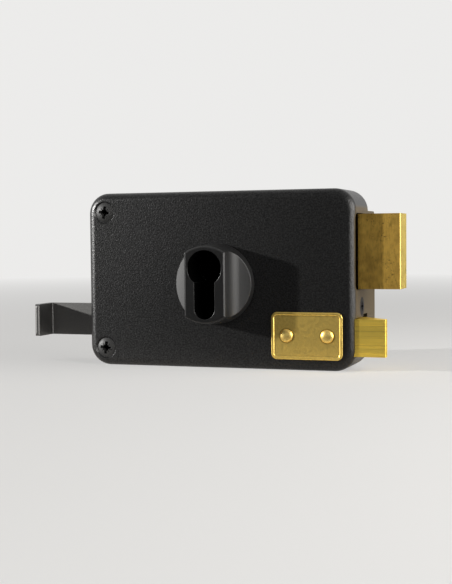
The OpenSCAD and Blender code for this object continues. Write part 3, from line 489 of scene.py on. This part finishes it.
satin_bar, tree, shader, place = start_finish("satin_bar", METAL)
specks = noise(tree, place, size=0.5 * MM, detail=3.0)
feed(tree, shader, {"Base Color": colours(tree, specks, BAR_DARK, BAR_PALE),
                    "Roughness": spread(tree, specks, to_low=0.40, to_high=0.48),
                    "Normal": bumped(tree, specks, strength=0.2, depth=0.04 * MM)})
print("finish:", satin_bar.name)

# %% [markdown]
# ## Brass
# The two bolts are drawn bars, the badge is pressed sheet, and its rivets shine. One function makes the
# metal: a mottle between a dull and a clean colour, rougher where it is dull. Each piece adds its own marks.
# The latch is the cleaner bolt. Dark draw lines run along it, where a noise over its height crosses a level.

# %% Latch brass
BRASS_SHEEN = (1.0, 0.90, 0.55, 1)
DULL_AT = 0.32
CLEAN_AT = 0.66
DULL_ROUGHER = 0.08
CLEAN_SMOOTHER = 0.04
DRAW_LINE_APART = 1.7 * MM
DRAW_LINE_LEVEL = 0.5
DRAW_LINE_WIDTH = 0.030
DRAW_LINE_DEPTH = 0.42
DRAW_LINE_BROWN = (0.22, 0.13, 0.03)


def brass(name, roughness, dull, clean, mottle_size, stretch=None):
    finish, tree, shader, place = start_finish(name, METAL)
    shader.inputs["Specular Tint"].default_value = BRASS_SHEEN
    mottle = noise(tree, place, mottle_size, detail=4.0, stretch=stretch)
    tint = colours(tree, mottle, dull, clean, DULL_AT, CLEAN_AT)
    rough = spread(tree, mottle, to_low=roughness + DULL_ROUGHER, to_high=roughness - CLEAN_SMOOTHER)
    feed(tree, shader, {"Roughness": rough})
    return finish, tree, shader, place, tint


latch_brass, tree, shader, place, tint = brass(
    "drawn_latch_brass", roughness=0.37, dull=(0.82, 0.575, 0.092), clean=(0.98, 0.72, 0.134),
    mottle_size=2.2 * MM, stretch=(0.06, 1.0, 1.0))
wander = add(tree, "ShaderNodeTexNoise", {"W": parts(tree, place)["Z"], "Scale": 1 / DRAW_LINE_APART},
             noise_dimensions="1D").outputs[0]
off_line = calc(tree, "ABSOLUTE", calc(tree, "SUBTRACT", wander, DRAW_LINE_LEVEL))
line = share(tree, off_line, 0.0, DRAW_LINE_WIDTH, DRAW_LINE_DEPTH, 0.0)
scratches = noise(tree, place, size=0.25 * MM, stretch=(0.03, 1.0, 1.0))
feed(tree, shader, {"Base Color": mixed(tree, tint, line, DRAW_LINE_BROWN),
                    "Normal": bumped(tree, scratches, strength=0.25, depth=0.03 * MM)})
print("finish:", latch_brass.name)

# %% [markdown]
# The deadbolt has dulled. Upright streaks and broad stains lie over its mottle, and small dark spots sit in
# patches. Near the case its colour is painted a little darker, as the case's shade, and inside the case it
# is painted near black, as shade. Its end is rubbed bright.

# %% Deadbolt brass
CASE_SHADE_FROM = case_high.x + 6 * MM
CASE_SHADE_TO = case_high.x + 13 * MM
CASE_SHADE_BRASS = (0.55, 0.35, 0.08)
CASE_SHADE_SHARE = 0.25
STREAK_BROWN = (0.22, 0.135, 0.03)
STAIN_BROWN = (0.22, 0.13, 0.03)
INSIDE_SHADE = (0.012, 0.009, 0.005)
RUBBED = (0.56, 0.43, 0.13)
SPOT_BROWN = (0.10, 0.06, 0.02)
bolt_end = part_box("deadbolt_head")[1].x - 0.25 * MM

bolt_brass, tree, shader, place, tint = brass(
    "dulled_bolt_brass", roughness=0.41, dull=(0.47, 0.290, 0.060), clean=(0.74, 0.470, 0.098),
    mottle_size=3.5 * MM)
across = parts(tree, place)["X"]
# near the case the colour is pulled a little darker: painted shade of the case
tint = mixed(tree, tint, share(tree, across, CASE_SHADE_FROM, CASE_SHADE_TO, CASE_SHADE_SHARE, 0.0), CASE_SHADE_BRASS)
streaks = noise(tree, place, size=0.8 * MM, detail=3.0, stretch=(1.0, 1.0, 0.22))
tint = mixed(tree, tint, where_over(tree, streaks, starts=0.48, full=0.72, most=0.55), STREAK_BROWN)
stains = noise(tree, place, size=8 * MM, detail=4.0)
tint = mixed(tree, tint, where_over(tree, stains, starts=0.50, full=0.68, most=0.45), STAIN_BROWN)
# inside the case the bolt is painted near black: painted shade
tint = mixed(tree, tint, calc(tree, "LESS_THAN", across, case_high.x), INSIDE_SHADE)
tint = mixed(tree, tint, calc(tree, "GREATER_THAN", across, bolt_end), RUBBED)
patches = where_over(tree, noise(tree, place, size=6 * MM), starts=0.52, full=0.62, most=0.8)
spots = where_over(tree, noise(tree, place, size=1.0 * MM, detail=1.5), starts=0.60, full=0.70, most=1.0)
tint = mixed(tree, tint, calc(tree, "MULTIPLY", spots, patches), SPOT_BROWN)
scratches = noise(tree, place, size=0.3 * MM, stretch=(1.0, 1.0, 0.05))
bump = bumped(tree, scratches, strength=0.2, depth=0.03 * MM)
feed(tree, shader, {"Base Color": tint, "Normal": bump})
print("finish:", bolt_brass.name)

# %% [markdown]
# Round the two rivets and along the foot of the rim the badge is painted darker: partly polish and dirt that
# gather where a cloth can't reach, partly painted shade in those crevices. A distance to each gives the
# darkening, and a noise breaks it up.

# %% Badge and rivet brass
RIM_FOOT = 1.5 * MM
RIM_DIRT_SHADE_WIDTH = 0.9 * MM
RIM_DIRT_SHADE = 0.45
RIVET_DIRT_SHADE_FROM = 0.05 * MM
RIVET_DIRT_SHADE_TO = 0.7 * MM
RIVET_DIRT_SHADE = 0.8
DIRT_SHADE_BROWN = (0.17, 0.10, 0.025)
LEAST_DIRT_SHADE = 0.55
PATCH_LOW = 0.35
PATCH_HIGH = 0.6

badge_low, badge_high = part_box("badge_plate")
badge_mid = (badge_low + badge_high) / 2
badge_half = (badge_high - badge_low) / 2
rivet_low, rivet_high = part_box("badge_rivets")
rivet_r = (rivet_high.z - rivet_low.z) / 2
rivet_out = (rivet_high.x - rivet_low.x) / 2 - rivet_r

badge_brass, tree, shader, place, tint = brass(
    "pressed_badge_brass", roughness=0.34, dull=(0.73, 0.505, 0.124), clean=(0.93, 0.672, 0.183),
    mottle_size=1.6 * MM)
spot = parts(tree, place)
aside = calc(tree, "ABSOLUTE", calc(tree, "SUBTRACT", spot["X"], badge_mid.x))
above = calc(tree, "ABSOLUTE", calc(tree, "SUBTRACT", spot["Z"], badge_mid.z))
from_rivet = from_axis(tree, calc(tree, "SUBTRACT", aside, rivet_out), above)
# dirt and painted shade: darker round the rivets and along the foot of the rim
dirt_and_shade = share(tree, from_rivet, rivet_r + RIVET_DIRT_SHADE_FROM, rivet_r + RIVET_DIRT_SHADE_TO, RIVET_DIRT_SHADE, 0.0)
runs = ((aside, badge_half.x - RIM_FOOT), (above, badge_half.z - RIM_FOOT))
for run, field_end in runs:
    by_rim = share(tree, run, field_end - RIM_DIRT_SHADE_WIDTH, field_end, 0.0, RIM_DIRT_SHADE)
    dirt_and_shade = calc(tree, "MAXIMUM", dirt_and_shade, by_rim)
for run, field_end in runs:
    dirt_and_shade = calc(tree, "MULTIPLY", dirt_and_shade, calc(tree, "LESS_THAN", run, field_end))
patchy = share(tree, noise(tree, place, size=2.5 * MM), PATCH_LOW, PATCH_HIGH, LEAST_DIRT_SHADE, 1.0)
dirt_and_shade = calc(tree, "MULTIPLY", dirt_and_shade, patchy)
bump = bumped(tree, noise(tree, place, size=0.6 * MM), strength=0.25, depth=0.05 * MM)
feed(tree, shader, {"Base Color": mixed(tree, tint, dirt_and_shade, DIRT_SHADE_BROWN), "Normal": bump})

rivet_brass, tree, shader, place, tint = brass(
    "polished_rivet_brass", roughness=0.36, dull=(0.72, 0.49, 0.145), clean=(0.90, 0.675, 0.215),
    mottle_size=1.2 * MM)
feed(tree, shader, {"Base Color": tint})
print("finishes:", badge_brass.name, rivet_brass.name)

# %% [markdown]
# ## Steel and screws
# Inside, the plates and posts are zinc-plated steel, cloudy and pale. The screws are oxidised nearly black.
# They differ only in a few values, such as colour, roughness and the size of their clouds, so one function
# makes all five.

# %% Steel and screws
DARK_SCREW_GLOSS = 0.1
CLOUD_ROUGHER = 0.07
CLOUD_SMOOTHER = 0.05


def clouded(name, metallic, roughness, low, high, cloud_size, stretch=None):
    finish, tree, shader, place = start_finish(name, metallic)
    cloud = noise(tree, place, cloud_size, detail=3.0, stretch=stretch)
    fine = noise(tree, place, size=0.3 * MM, stretch=stretch)
    rough = spread(tree, cloud, to_low=roughness + CLOUD_ROUGHER, to_high=roughness - CLOUD_SMOOTHER)
    feed(tree, shader, {"Base Color": colours(tree, cloud, low, high), "Roughness": rough,
                        "Normal": bumped(tree, fine, strength=0.15, depth=0.03 * MM)})
    return finish


zinc_plate = clouded("zinc_plate", METAL, roughness=0.38, low=(0.50, 0.50, 0.48), high=(0.64, 0.64, 0.61),
                     cloud_size=6 * MM)
drawn_steel = clouded("drawn_steel", METAL, roughness=0.32, low=(0.46, 0.46, 0.46), high=(0.60, 0.60, 0.60),
                      cloud_size=2 * MM, stretch=(0.1, 1.0, 1.0))
spring_steel = clouded("spring_steel", METAL, roughness=0.28, low=(0.40, 0.40, 0.41),
                       high=(0.55, 0.55, 0.56), cloud_size=3 * MM)
black_screw = clouded("black_screw", PAINT, roughness=0.50, low=(0.014, 0.014, 0.014),
                      high=(0.026, 0.026, 0.025), cloud_size=0.8 * MM)
dark_screw = clouded("dark_screw", PAINT, roughness=0.50, low=(0.002, 0.002, 0.003),
                     high=(0.005, 0.005, 0.006), cloud_size=1.5 * MM)
dark_shader = dark_screw.node_tree.nodes["Principled BSDF"]
dark_shader.inputs["Specular IOR Level"].default_value = DARK_SCREW_GLOSS
print("steel and screw finishes: 5")

# %% [markdown]
# ## Rounded edges on the cast and drawn pieces
# A solid's edges are perfectly sharp, and no real edge is: each catches a thin line of light.
# A Bevel modifier could do it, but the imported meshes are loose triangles. So each piece is a merged copy
# whose sharp edges are bevelled once, with weighted normals so that its flat faces still shade flat.

# %% Edge rounding
MERGE_WITHIN = 0.001 * MM
FLAT_WITHIN = math.radians(0.2)
NOSE_DEPTH = 0.01 * MM
NOSE_LEAST = 5 * MM
NOSE_STEPS = 4
SHARP_EDGE = 30
SHARP_SHADE = 40


def plain_mesh(piece):
    depsgraph = bpy.context.evaluated_depsgraph_get()
    made = bpy.data.meshes.new_from_object(piece.evaluated_get(depsgraph))
    piece.modifiers.clear()
    piece.data = made


def shaded_piece(name, shape, sharp):
    mesh = bpy.data.meshes.new(name)
    shape.to_mesh(mesh)
    shape.free()
    mesh.polygons.foreach_set("use_smooth", [True] * len(mesh.polygons))
    mesh.set_sharp_from_angle(angle=math.radians(sharp))
    piece = new_object(name, mesh)
    weights = piece.modifiers.new("weights", "WEIGHTED_NORMAL")
    weights.keep_sharp = True
    plain_mesh(piece)
    return piece


def bevel(shape, edges, width, steps, clamp=True):
    bmesh.ops.bevel(shape, geom=edges, offset=width, offset_type="OFFSET", segments=steps, profile=0.5,
                    affect="EDGES", clamp_overlap=clamp)


def nose_edges(shape):
    end_x = max(vert.co.x for vert in shape.verts)
    at_end = [e for e in shape.edges if all(v.co.x > end_x - NOSE_DEPTH for v in e.verts)]
    return [e for e in at_end if abs(e.verts[0].co.z - e.verts[1].co.z) > NOSE_LEAST]


def rounded(name, node, width, steps=2, nose=None, clamp=True):
    shape = bmesh.new()
    shape.from_mesh(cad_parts[node].data)
    bmesh.ops.remove_doubles(shape, verts=shape.verts, dist=MERGE_WITHIN)
    bmesh.ops.dissolve_limit(shape, angle_limit=FLAT_WITHIN, verts=shape.verts, edges=shape.edges)
    if nose:
        bevel(shape, nose_edges(shape), nose, NOSE_STEPS)
    closed = [e for e in shape.edges if len(e.link_faces) == 2]
    edges = [e for e in closed if e.calc_face_angle() > math.radians(SHARP_EDGE)]
    bevel(shape, edges, width, steps, clamp)
    piece = shaded_piece(name, shape, SHARP_SHADE)
    print(name, "faces:", len(piece.data.polygons), "edges rounded:", len(edges))
    return piece


print("edge helpers ready")

# %% [markdown]
# The collar is cast, so its edges are rounder than those of the drawn bolts. Its tightest corners would hold
# the whole bevel back, so its width isn't clamped. The latch's nose is rounded first, and a little more.

# %% Collar, pull and bolts
def place_piece(piece, body, finish, slot, *nodes):
    piece.data.materials.clear()
    piece.data.materials.append(finish)
    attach(piece, body)
    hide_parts(*nodes)


collar = rounded("collar", "cylinder_escutcheon", width=0.3 * MM, steps=3, clamp=False)
place_piece(collar, "case", satin_black, "black_satin_casting", "cylinder_escutcheon")
pull = rounded("pull", "pull_handle", width=0.45 * MM, steps=3)
place_piece(pull, "latch", satin_bar, "black_satin_bar", "pull_handle")
deadbolt = rounded("deadbolt", "deadbolt_head", width=0.1 * MM)
place_piece(deadbolt, "deadbolt", bolt_brass, "bolt_brass", "deadbolt_head")
latch = rounded("latch", "latch_bolt", width=0.15 * MM, nose=0.25 * MM)
place_piece(latch, "latch", latch_brass, "latch_brass", "latch_bolt")

# %% [markdown]
# ## Screws
# Two raised countersunk screws hold the cover, and one countersunk screw holds the cylinder. They differ
# only in size and finish, so one Geometry Nodes tree makes them all: a cone, a shank and a cap cut from a
# sphere are joined, a tapered cross is cut out, and the result is set on each point of a small mesh.

# %% Tree helpers
SHARP_TURNED = 35


def new_tree(name, sizes):
    tree = bpy.data.node_groups.new(name, "GeometryNodeTree")
    tree.is_modifier = True
    tree.interface.new_socket("Geometry", in_out="INPUT", socket_type="NodeSocketGeometry")
    for size in sizes:
        tree.interface.new_socket(size, in_out="INPUT", socket_type="NodeSocketFloat")
    tree.interface.new_socket("Turn", in_out="INPUT", socket_type="NodeSocketVector")
    tree.interface.new_socket("Finish", in_out="INPUT", socket_type="NodeSocketMaterial")
    tree.interface.new_socket("Geometry", in_out="OUTPUT", socket_type="NodeSocketGeometry")
    return tree, add(tree, "NodeGroupInput").outputs


def vector(tree, x, y, z):
    return add(tree, "ShaderNodeCombineXYZ", {0: x, 1: y, 2: z}).outputs[0]


def moved(tree, geometry, shift=None, turn=None, scale=None):
    inputs = {"Geometry": geometry, "Translation": shift, "Rotation": turn, "Scale": scale}
    given = {socket: value for socket, value in inputs.items() if value is not None}
    return add(tree, "GeometryNodeTransform", given).outputs[0]


def lifted(tree, geometry, height, times=1.0):
    return moved(tree, geometry, vector(tree, 0.0, 0.0, calc(tree, "MULTIPLY", height, times)))


def cylinder(tree, sides, radius, depth):
    inputs = {"Vertices": sides, "Radius": radius, "Depth": depth}
    return add(tree, "GeometryNodeMeshCylinder", inputs).outputs[0]


def ball_of(tree, segments, rings, radius):
    inputs = {"Segments": segments, "Rings": rings, "Radius": radius}
    return add(tree, "GeometryNodeMeshUVSphere", inputs).outputs[0]


def solids(tree, operation, first, others):
    made = add(tree, "GeometryNodeMeshBoolean", operation=operation, solver="EXACT")
    if first is not None:
        tree.links.new(first, made.inputs[0])
    for other in others:
        tree.links.new(other, made.inputs[1])
    return made.outputs[0]


print("tree helpers ready")

# %% [markdown]
# Every tree ends in the same way: shade smooth, copy to the points, realize the copies and set the material.
# Then the tree is run once, its result becomes a plain mesh, and the modifier goes.

# %% Ending and running a tree
def finish_tree(tree, given, shape):
    smooth = add(tree, "GeometryNodeSetShadeSmooth", {"Geometry": shape}).outputs[0]
    inputs = {"Points": given["Geometry"], "Instance": smooth, "Rotation": given["Turn"]}
    copies = add(tree, "GeometryNodeInstanceOnPoints", inputs).outputs[0]
    whole = add(tree, "GeometryNodeRealizeInstances", {"Geometry": copies}).outputs[0]
    painted = add(tree, "GeometryNodeSetMaterial", {"Geometry": whole, "Material": given["Finish"]})
    add(tree, "NodeGroupOutput", {0: painted.outputs[0]})
    print(tree.name, "nodes:", len(tree.nodes))


def set_on_points(name, tree, points, values):
    mesh = bpy.data.meshes.new(name)
    mesh.from_pydata(points, [], [])
    piece = new_object(name, mesh)
    maker = piece.modifiers.new("maker", "NODES")
    maker.node_group = tree
    for socket in tree.interface.items_tree:
        if socket.in_out == "INPUT" and socket.name in values:
            maker[socket.identifier] = values[socket.name]
    plain_mesh(piece)
    piece.data.set_sharp_from_angle(angle=math.radians(SHARP_TURNED))
    print(name, "faces:", len(piece.data.polygons), "on points:", len(points))
    return piece


print("tree endings ready")

# %% Screw body
SCREW_SIZES = ["Head Diameter", "Dome Height", "Sink Depth", "Shank Diameter", "Shank Length",
               "Cross Span", "Cross Width", "Cross Depth", "Pit Width",
               "Tick Span", "Tick Width", "Tick Depth"]
ROUND_SIDES = 64
DOME_SEGMENTS = 96
DOME_RINGS = 160
DRUM_HEIGHT = 4.0
DRUM_LIFT = 1.99

screw_tree, size = new_tree("countersunk_screw", SCREW_SIZES)
head_r = calc(screw_tree, "DIVIDE", size["Head Diameter"], 2.0)
shank_r = calc(screw_tree, "DIVIDE", size["Shank Diameter"], 2.0)
dome = size["Dome Height"]
head_squared = calc(screw_tree, "MULTIPLY", head_r, head_r)
squares = calc(screw_tree, "ADD", head_squared, calc(screw_tree, "MULTIPLY", dome, dome))
dome_r = calc(screw_tree, "DIVIDE", squares, calc(screw_tree, "MULTIPLY", dome, 2.0))

cone_sizes = {"Vertices": ROUND_SIDES, "Radius Top": head_r, "Radius Bottom": shank_r,
              "Depth": size["Sink Depth"]}
sink = add(screw_tree, "GeometryNodeMeshCone", cone_sizes).outputs[0]
sink = lifted(screw_tree, sink, size["Sink Depth"], -1.0)
shank = cylinder(screw_tree, ROUND_SIDES, shank_r, size["Shank Length"])
shank = lifted(screw_tree, shank, size["Shank Length"], -0.5)
ball = ball_of(screw_tree, DOME_SEGMENTS, DOME_RINGS, dome_r)
ball = lifted(screw_tree, ball, calc(screw_tree, "SUBTRACT", dome, dome_r))
drum = cylinder(screw_tree, ROUND_SIDES, head_r, calc(screw_tree, "MULTIPLY", dome, DRUM_HEIGHT))
drum = lifted(screw_tree, drum, dome, DRUM_LIFT)
cap = solids(screw_tree, "INTERSECT", None, [ball, drum])
screw_body = solids(screw_tree, "UNION", None, [sink, shank, cap])
print("screw body nodes:", len(screw_tree.nodes))

# %% [markdown]
# The cross is two tapered bars with a square pit between them, and two shallow ticks run diagonally.
# A cone with four sides is a tapered block: it is turned by 45 degrees and scaled to a span, a width and a
# depth.

# %% Screw cross
BLOCK_TOP_R = math.sqrt(0.5)
BLOCK_FOOT_R = 0.55


def tapered_bar(tree, span, width, depth, top, angle):
    block_sizes = {"Vertices": 4, "Radius Top": BLOCK_TOP_R, "Radius Bottom": BLOCK_FOOT_R, "Depth": 1.0}
    block = add(tree, "GeometryNodeMeshCone", block_sizes).outputs[0]
    block = moved(tree, block, turn=(0, 0, math.radians(45)))
    block = moved(tree, block, scale=vector(tree, span, width, calc(tree, "MULTIPLY", depth, 2.0)))
    block = moved(tree, block, turn=(0, 0, math.radians(angle)))
    return lifted(tree, block, calc(tree, "SUBTRACT", top, depth))


def cut_bar(kind, angle):
    bar_sizes = [size[kind + part] for part in (" Span", " Width", " Depth")]
    return tapered_bar(screw_tree, *bar_sizes, dome, angle)


cross = [cut_bar("Cross", angle) for angle in (0, 90)]
pit = tapered_bar(screw_tree, size["Pit Width"], size["Pit Width"], size["Cross Depth"], dome, 45)
ticks = [cut_bar("Tick", angle) for angle in (45, 135)]
finish_tree(screw_tree, size, solids(screw_tree, "DIFFERENCE", screw_body, [*cross, pit, *ticks]))

# %% Cover screws
COVER_DOME = 1.3 * MM
TO_FRONT = (math.radians(90), math.radians(8), 0)
cover_low, cover_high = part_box("cover_screws")
cover_head_d = cover_high.x - cover_low.x
cover_x = (cover_low.x + cover_high.x) / 2
cover_seat_y = cover_low.y + COVER_DOME
cover_heights = (cover_low.z + cover_head_d / 2, cover_high.z - cover_head_d / 2)
cover_points = [(cover_x, cover_seat_y, z) for z in cover_heights]
cover_screws = set_on_points("cover_screws_cross", screw_tree, cover_points, {
    "Head Diameter": cover_head_d, "Dome Height": COVER_DOME, "Sink Depth": 2.45 * MM,
    "Shank Diameter": 4.9 * MM, "Shank Length": cover_high.y - cover_seat_y,
    "Cross Span": 7.4 * MM, "Cross Width": 1.8 * MM, "Cross Depth": 2.1 * MM, "Pit Width": 3.8 * MM,
    "Tick Span": 7.0 * MM, "Tick Width": 0.5 * MM, "Tick Depth": 0.5 * MM,
    "Turn": TO_FRONT, "Finish": black_screw})
place_piece(cover_screws, "case", black_screw, "black_screw", "cover_screws")

# %% Cylinder screw
TO_RIGHT = (0, math.radians(90), 0)
cyl_low, cyl_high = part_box("cylinder_screw")
cyl_point = (cyl_high.x, (cyl_low.y + cyl_high.y) / 2, (cyl_low.z + cyl_high.z) / 2)
cylinder_screw = set_on_points("cylinder_screw_cross", screw_tree, [cyl_point], {
    "Head Diameter": cyl_high.z - cyl_low.z, "Dome Height": 0.12 * MM, "Sink Depth": 2.2 * MM,
    "Shank Diameter": 4.9 * MM, "Shank Length": cyl_high.x - cyl_low.x,
    "Cross Span": 5.2 * MM, "Cross Width": 1.3 * MM, "Cross Depth": 1.6 * MM, "Pit Width": 2.4 * MM,
    "Tick Span": 4.8 * MM, "Tick Width": 0.35 * MM, "Tick Depth": 0.3 * MM,
    "Turn": TO_RIGHT, "Finish": dark_screw})
place_piece(cylinder_screw, "case", dark_screw, "dark_screw", "cylinder_screw")

# %% [markdown]
# ## Badge and its rivets
# The badge is a small plate pressed from brass sheet, with a raised rim. Its field is left bare.
# The rim is a section carried round a rounded rectangle. Each step of the section is a ring of points, set
# in from the edge by so many millimetres and raised by a share of the plate's thickness. Faces join the
# rings.

# %% Badge plate
BADGE_CORNER = 2.9 * MM
LEAST_CORNER = 0.6 * MM
CORNER_STEPS = 12
SHARP_PRESSED = 50
RIM_SECTION = [(0.0, 0.0), (0.0, 0.70), (0.08, 0.88), (0.22, 0.97), (0.42, 1.0), (0.95, 1.0), (1.15, 0.95),
               (1.32, 0.82), (1.45, 0.68), (1.62, 0.61), (1.9, 0.60)]


def rounded_ring(centre, half_x, half_z, radius):
    ring = []
    for turn, (sign_x, sign_z) in enumerate(((1, 1), (-1, 1), (-1, -1), (1, -1))):
        for step in range(CORNER_STEPS + 1):
            angle = math.radians(90 * turn + 90 * step / CORNER_STEPS)
            ring.append((centre.x + sign_x * (half_x - radius) + radius * math.cos(angle),
                         centre.z + sign_z * (half_z - radius) + radius * math.sin(angle)))
    return ring


def ringed_plate(name, low, high, corner, section):
    shape = bmesh.new()
    centre = (low + high) / 2
    half = (high - low) / 2
    rings = []
    for inset, rise in section:
        radius = max(corner - inset * MM, LEAST_CORNER)
        ring = rounded_ring(centre, half.x - inset * MM, half.z - inset * MM, radius)
        level = high.y - rise * (high.y - low.y)
        rings.append([shape.verts.new((x, level, z)) for x, z in ring])
    for outer, inner in zip(rings, rings[1:]):
        for i in range(len(outer)):
            j = (i + 1) % len(outer)
            shape.faces.new((outer[i], outer[j], inner[j], inner[i]))
    shape.faces.new(rings[-1])
    shape.faces.new(list(reversed(rings[0])))
    bmesh.ops.recalc_face_normals(shape, faces=shape.faces)
    piece = shaded_piece(name, shape, SHARP_PRESSED)
    print(name, "faces:", len(piece.data.polygons), "rings:", len(rings))
    return piece


badge = ringed_plate("badge_pressed", badge_low, badge_high, BADGE_CORNER, RIM_SECTION)
place_piece(badge, "case", badge_brass, "badge_brass", "badge_plate")

# %% [markdown]
# The rivets repeat, so a second tree makes them: a cap cut from a flattened ball on a plain shank, on each
# point. The shank reaches a little way into the cap, so that the two join.

# %% Rivets
RIVET_HEAD = 1.4 * MM
RIVET_SEGMENTS = 64
RIVET_RINGS = 48
SHANK_SIDES = 32
SHANK_LIFT = -0.45
RIVET_SIZES = ["Head Diameter", "Head Height", "Shank Diameter", "Shank Length"]

rivet_tree, size = new_tree("domed_rivet", RIVET_SIZES)
head_r = calc(rivet_tree, "DIVIDE", size["Head Diameter"], 2.0)
tall = size["Head Height"]
ball = ball_of(rivet_tree, RIVET_SEGMENTS, RIVET_RINGS, 1.0)
ball = moved(rivet_tree, ball, scale=vector(rivet_tree, head_r, head_r, tall))
drum_height = calc(rivet_tree, "MULTIPLY", tall, DRUM_HEIGHT)
drum = cylinder(rivet_tree, ROUND_SIDES, size["Head Diameter"], drum_height)
cap = solids(rivet_tree, "INTERSECT", None, [ball, lifted(rivet_tree, drum, drum_height, 0.5)])
shank_r = calc(rivet_tree, "DIVIDE", size["Shank Diameter"], 2.0)
shank = cylinder(rivet_tree, SHANK_SIDES, shank_r, size["Shank Length"])
shank = lifted(rivet_tree, shank, size["Shank Length"], SHANK_LIFT)
finish_tree(rivet_tree, size, solids(rivet_tree, "UNION", None, [cap, shank]))

rivet_z = (rivet_low.z + rivet_high.z) / 2
rivet_seat_y = rivet_low.y + RIVET_HEAD
rivet_points = [(x, rivet_seat_y, rivet_z) for x in (rivet_low.x + rivet_r, rivet_high.x - rivet_r)]
rivets = set_on_points("badge_rivets_domed", rivet_tree, rivet_points, {
    "Head Diameter": 2 * rivet_r, "Head Height": RIVET_HEAD, "Shank Diameter": 3.2 * MM,
    "Shank Length": rivet_high.y - rivet_seat_y, "Turn": TO_FRONT, "Finish": rivet_brass})
place_piece(rivets, "case", rivet_brass, "rivet_brass", "badge_rivets")

# %% [markdown]
# ## Latch spring
# A spring of round wire pushes the latch out. Its end turns lie close and the others are even. A curve
# that is already a spiral needs only its height remapped, and a circle swept along it makes the wire.

# %% Spring
SPRING_TURNS = 9.0
STEPS_PER_TURN = 32
CLOSE_PITCH = 1.4 * MM
WIRE_R = 0.45 * MM
WIRE_SIDES = 12
spring_low, spring_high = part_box("latch_spring")
spring_mid = (spring_low + spring_high) / 2
spring_length = spring_high.x - spring_low.x
coil_r = (spring_high.z - spring_low.z) / 2 - WIRE_R
rise = spring_length - 2 * WIRE_R

spring_tree, size = new_tree("wire_spring", ["Coil Radius", "Wire Radius", "Turns", "Rise"])
spiral_sizes = {"Resolution": STEPS_PER_TURN, "Rotations": size["Turns"], "Height": size["Rise"],
                "Start Radius": size["Coil Radius"], "End Radius": size["Coil Radius"]}
spiral = add(spring_tree, "GeometryNodeCurveSpiral", spiral_sizes).outputs[0]
along = add(spring_tree, "GeometryNodeSplineParameter").outputs["Factor"]
even = add(spring_tree, "ShaderNodeFloatCurve", {"Value": along})
close = CLOSE_PITCH / rise
for at, to in ((1 / SPRING_TURNS, close), (1 - 1 / SPRING_TURNS, 1 - close)):
    even.mapping.curves[0].points.new(at, to).handle_type = "VECTOR"
even.mapping.update()
spot = parts(spring_tree, add(spring_tree, "GeometryNodeInputPosition").outputs[0])
level = calc(spring_tree, "MULTIPLY", even.outputs[0], size["Rise"])
coil = vector(spring_tree, spot[0], spot[1], level)
spiral = add(spring_tree, "GeometryNodeSetPosition", {"Geometry": spiral, "Position": coil}).outputs[0]
wire_sizes = {"Resolution": WIRE_SIDES, "Radius": size["Wire Radius"]}
wire = add(spring_tree, "GeometryNodeCurvePrimitiveCircle", wire_sizes).outputs[0]
swept = {"Curve": spiral, "Profile Curve": wire, "Fill Caps": True}
finish_tree(spring_tree, size, add(spring_tree, "GeometryNodeCurveToMesh", swept).outputs[0])

# %% Spring in place
spring_end = Vector((spring_low.x, spring_mid.y, spring_mid.z))
spring = set_on_points("latch_spring_wound", spring_tree, [spring_end + Vector((WIRE_R, 0, 0))], {
    "Coil Radius": coil_r, "Wire Radius": WIRE_R, "Turns": SPRING_TURNS, "Rise": rise,
    "Turn": TO_RIGHT, "Finish": spring_steel})
place_piece(spring, "case", spring_steel, "steel", "latch_spring")
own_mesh(spring)

# %% [markdown]
# ## The pieces that stay as they are
# The case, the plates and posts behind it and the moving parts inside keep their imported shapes.
# They only need their finishes, so a list of nodes for each finish is enough.

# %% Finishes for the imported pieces
KEPT = {
    "grained_black": ["casing"],
    "zinc_plate": ["back_plate", "deadbolt_tail", "latch_slide", "retractor_lever", "spring_bracket"],
    "drawn_steel": ["cover_pillars", "back_plate_screws", "escutcheon_screws", "deadbolt_rivets",
                    "deadbolt_post", "detent_anchor", "detent_screw", "latch_rivets", "spring_rod",
                    "slide_post", "pull_rivets", "lever_pin", "lever_post"],
    "spring_steel": ["detent_spring", "retaining_clips"],
}
for finish, nodes in KEPT.items():
    for node in nodes:
        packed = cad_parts[node].data
        packed.materials.clear()
        packed.materials.append(bpy.data.materials[finish])
print("packed pieces finished:", sum(len(nodes) for nodes in KEPT.values()))
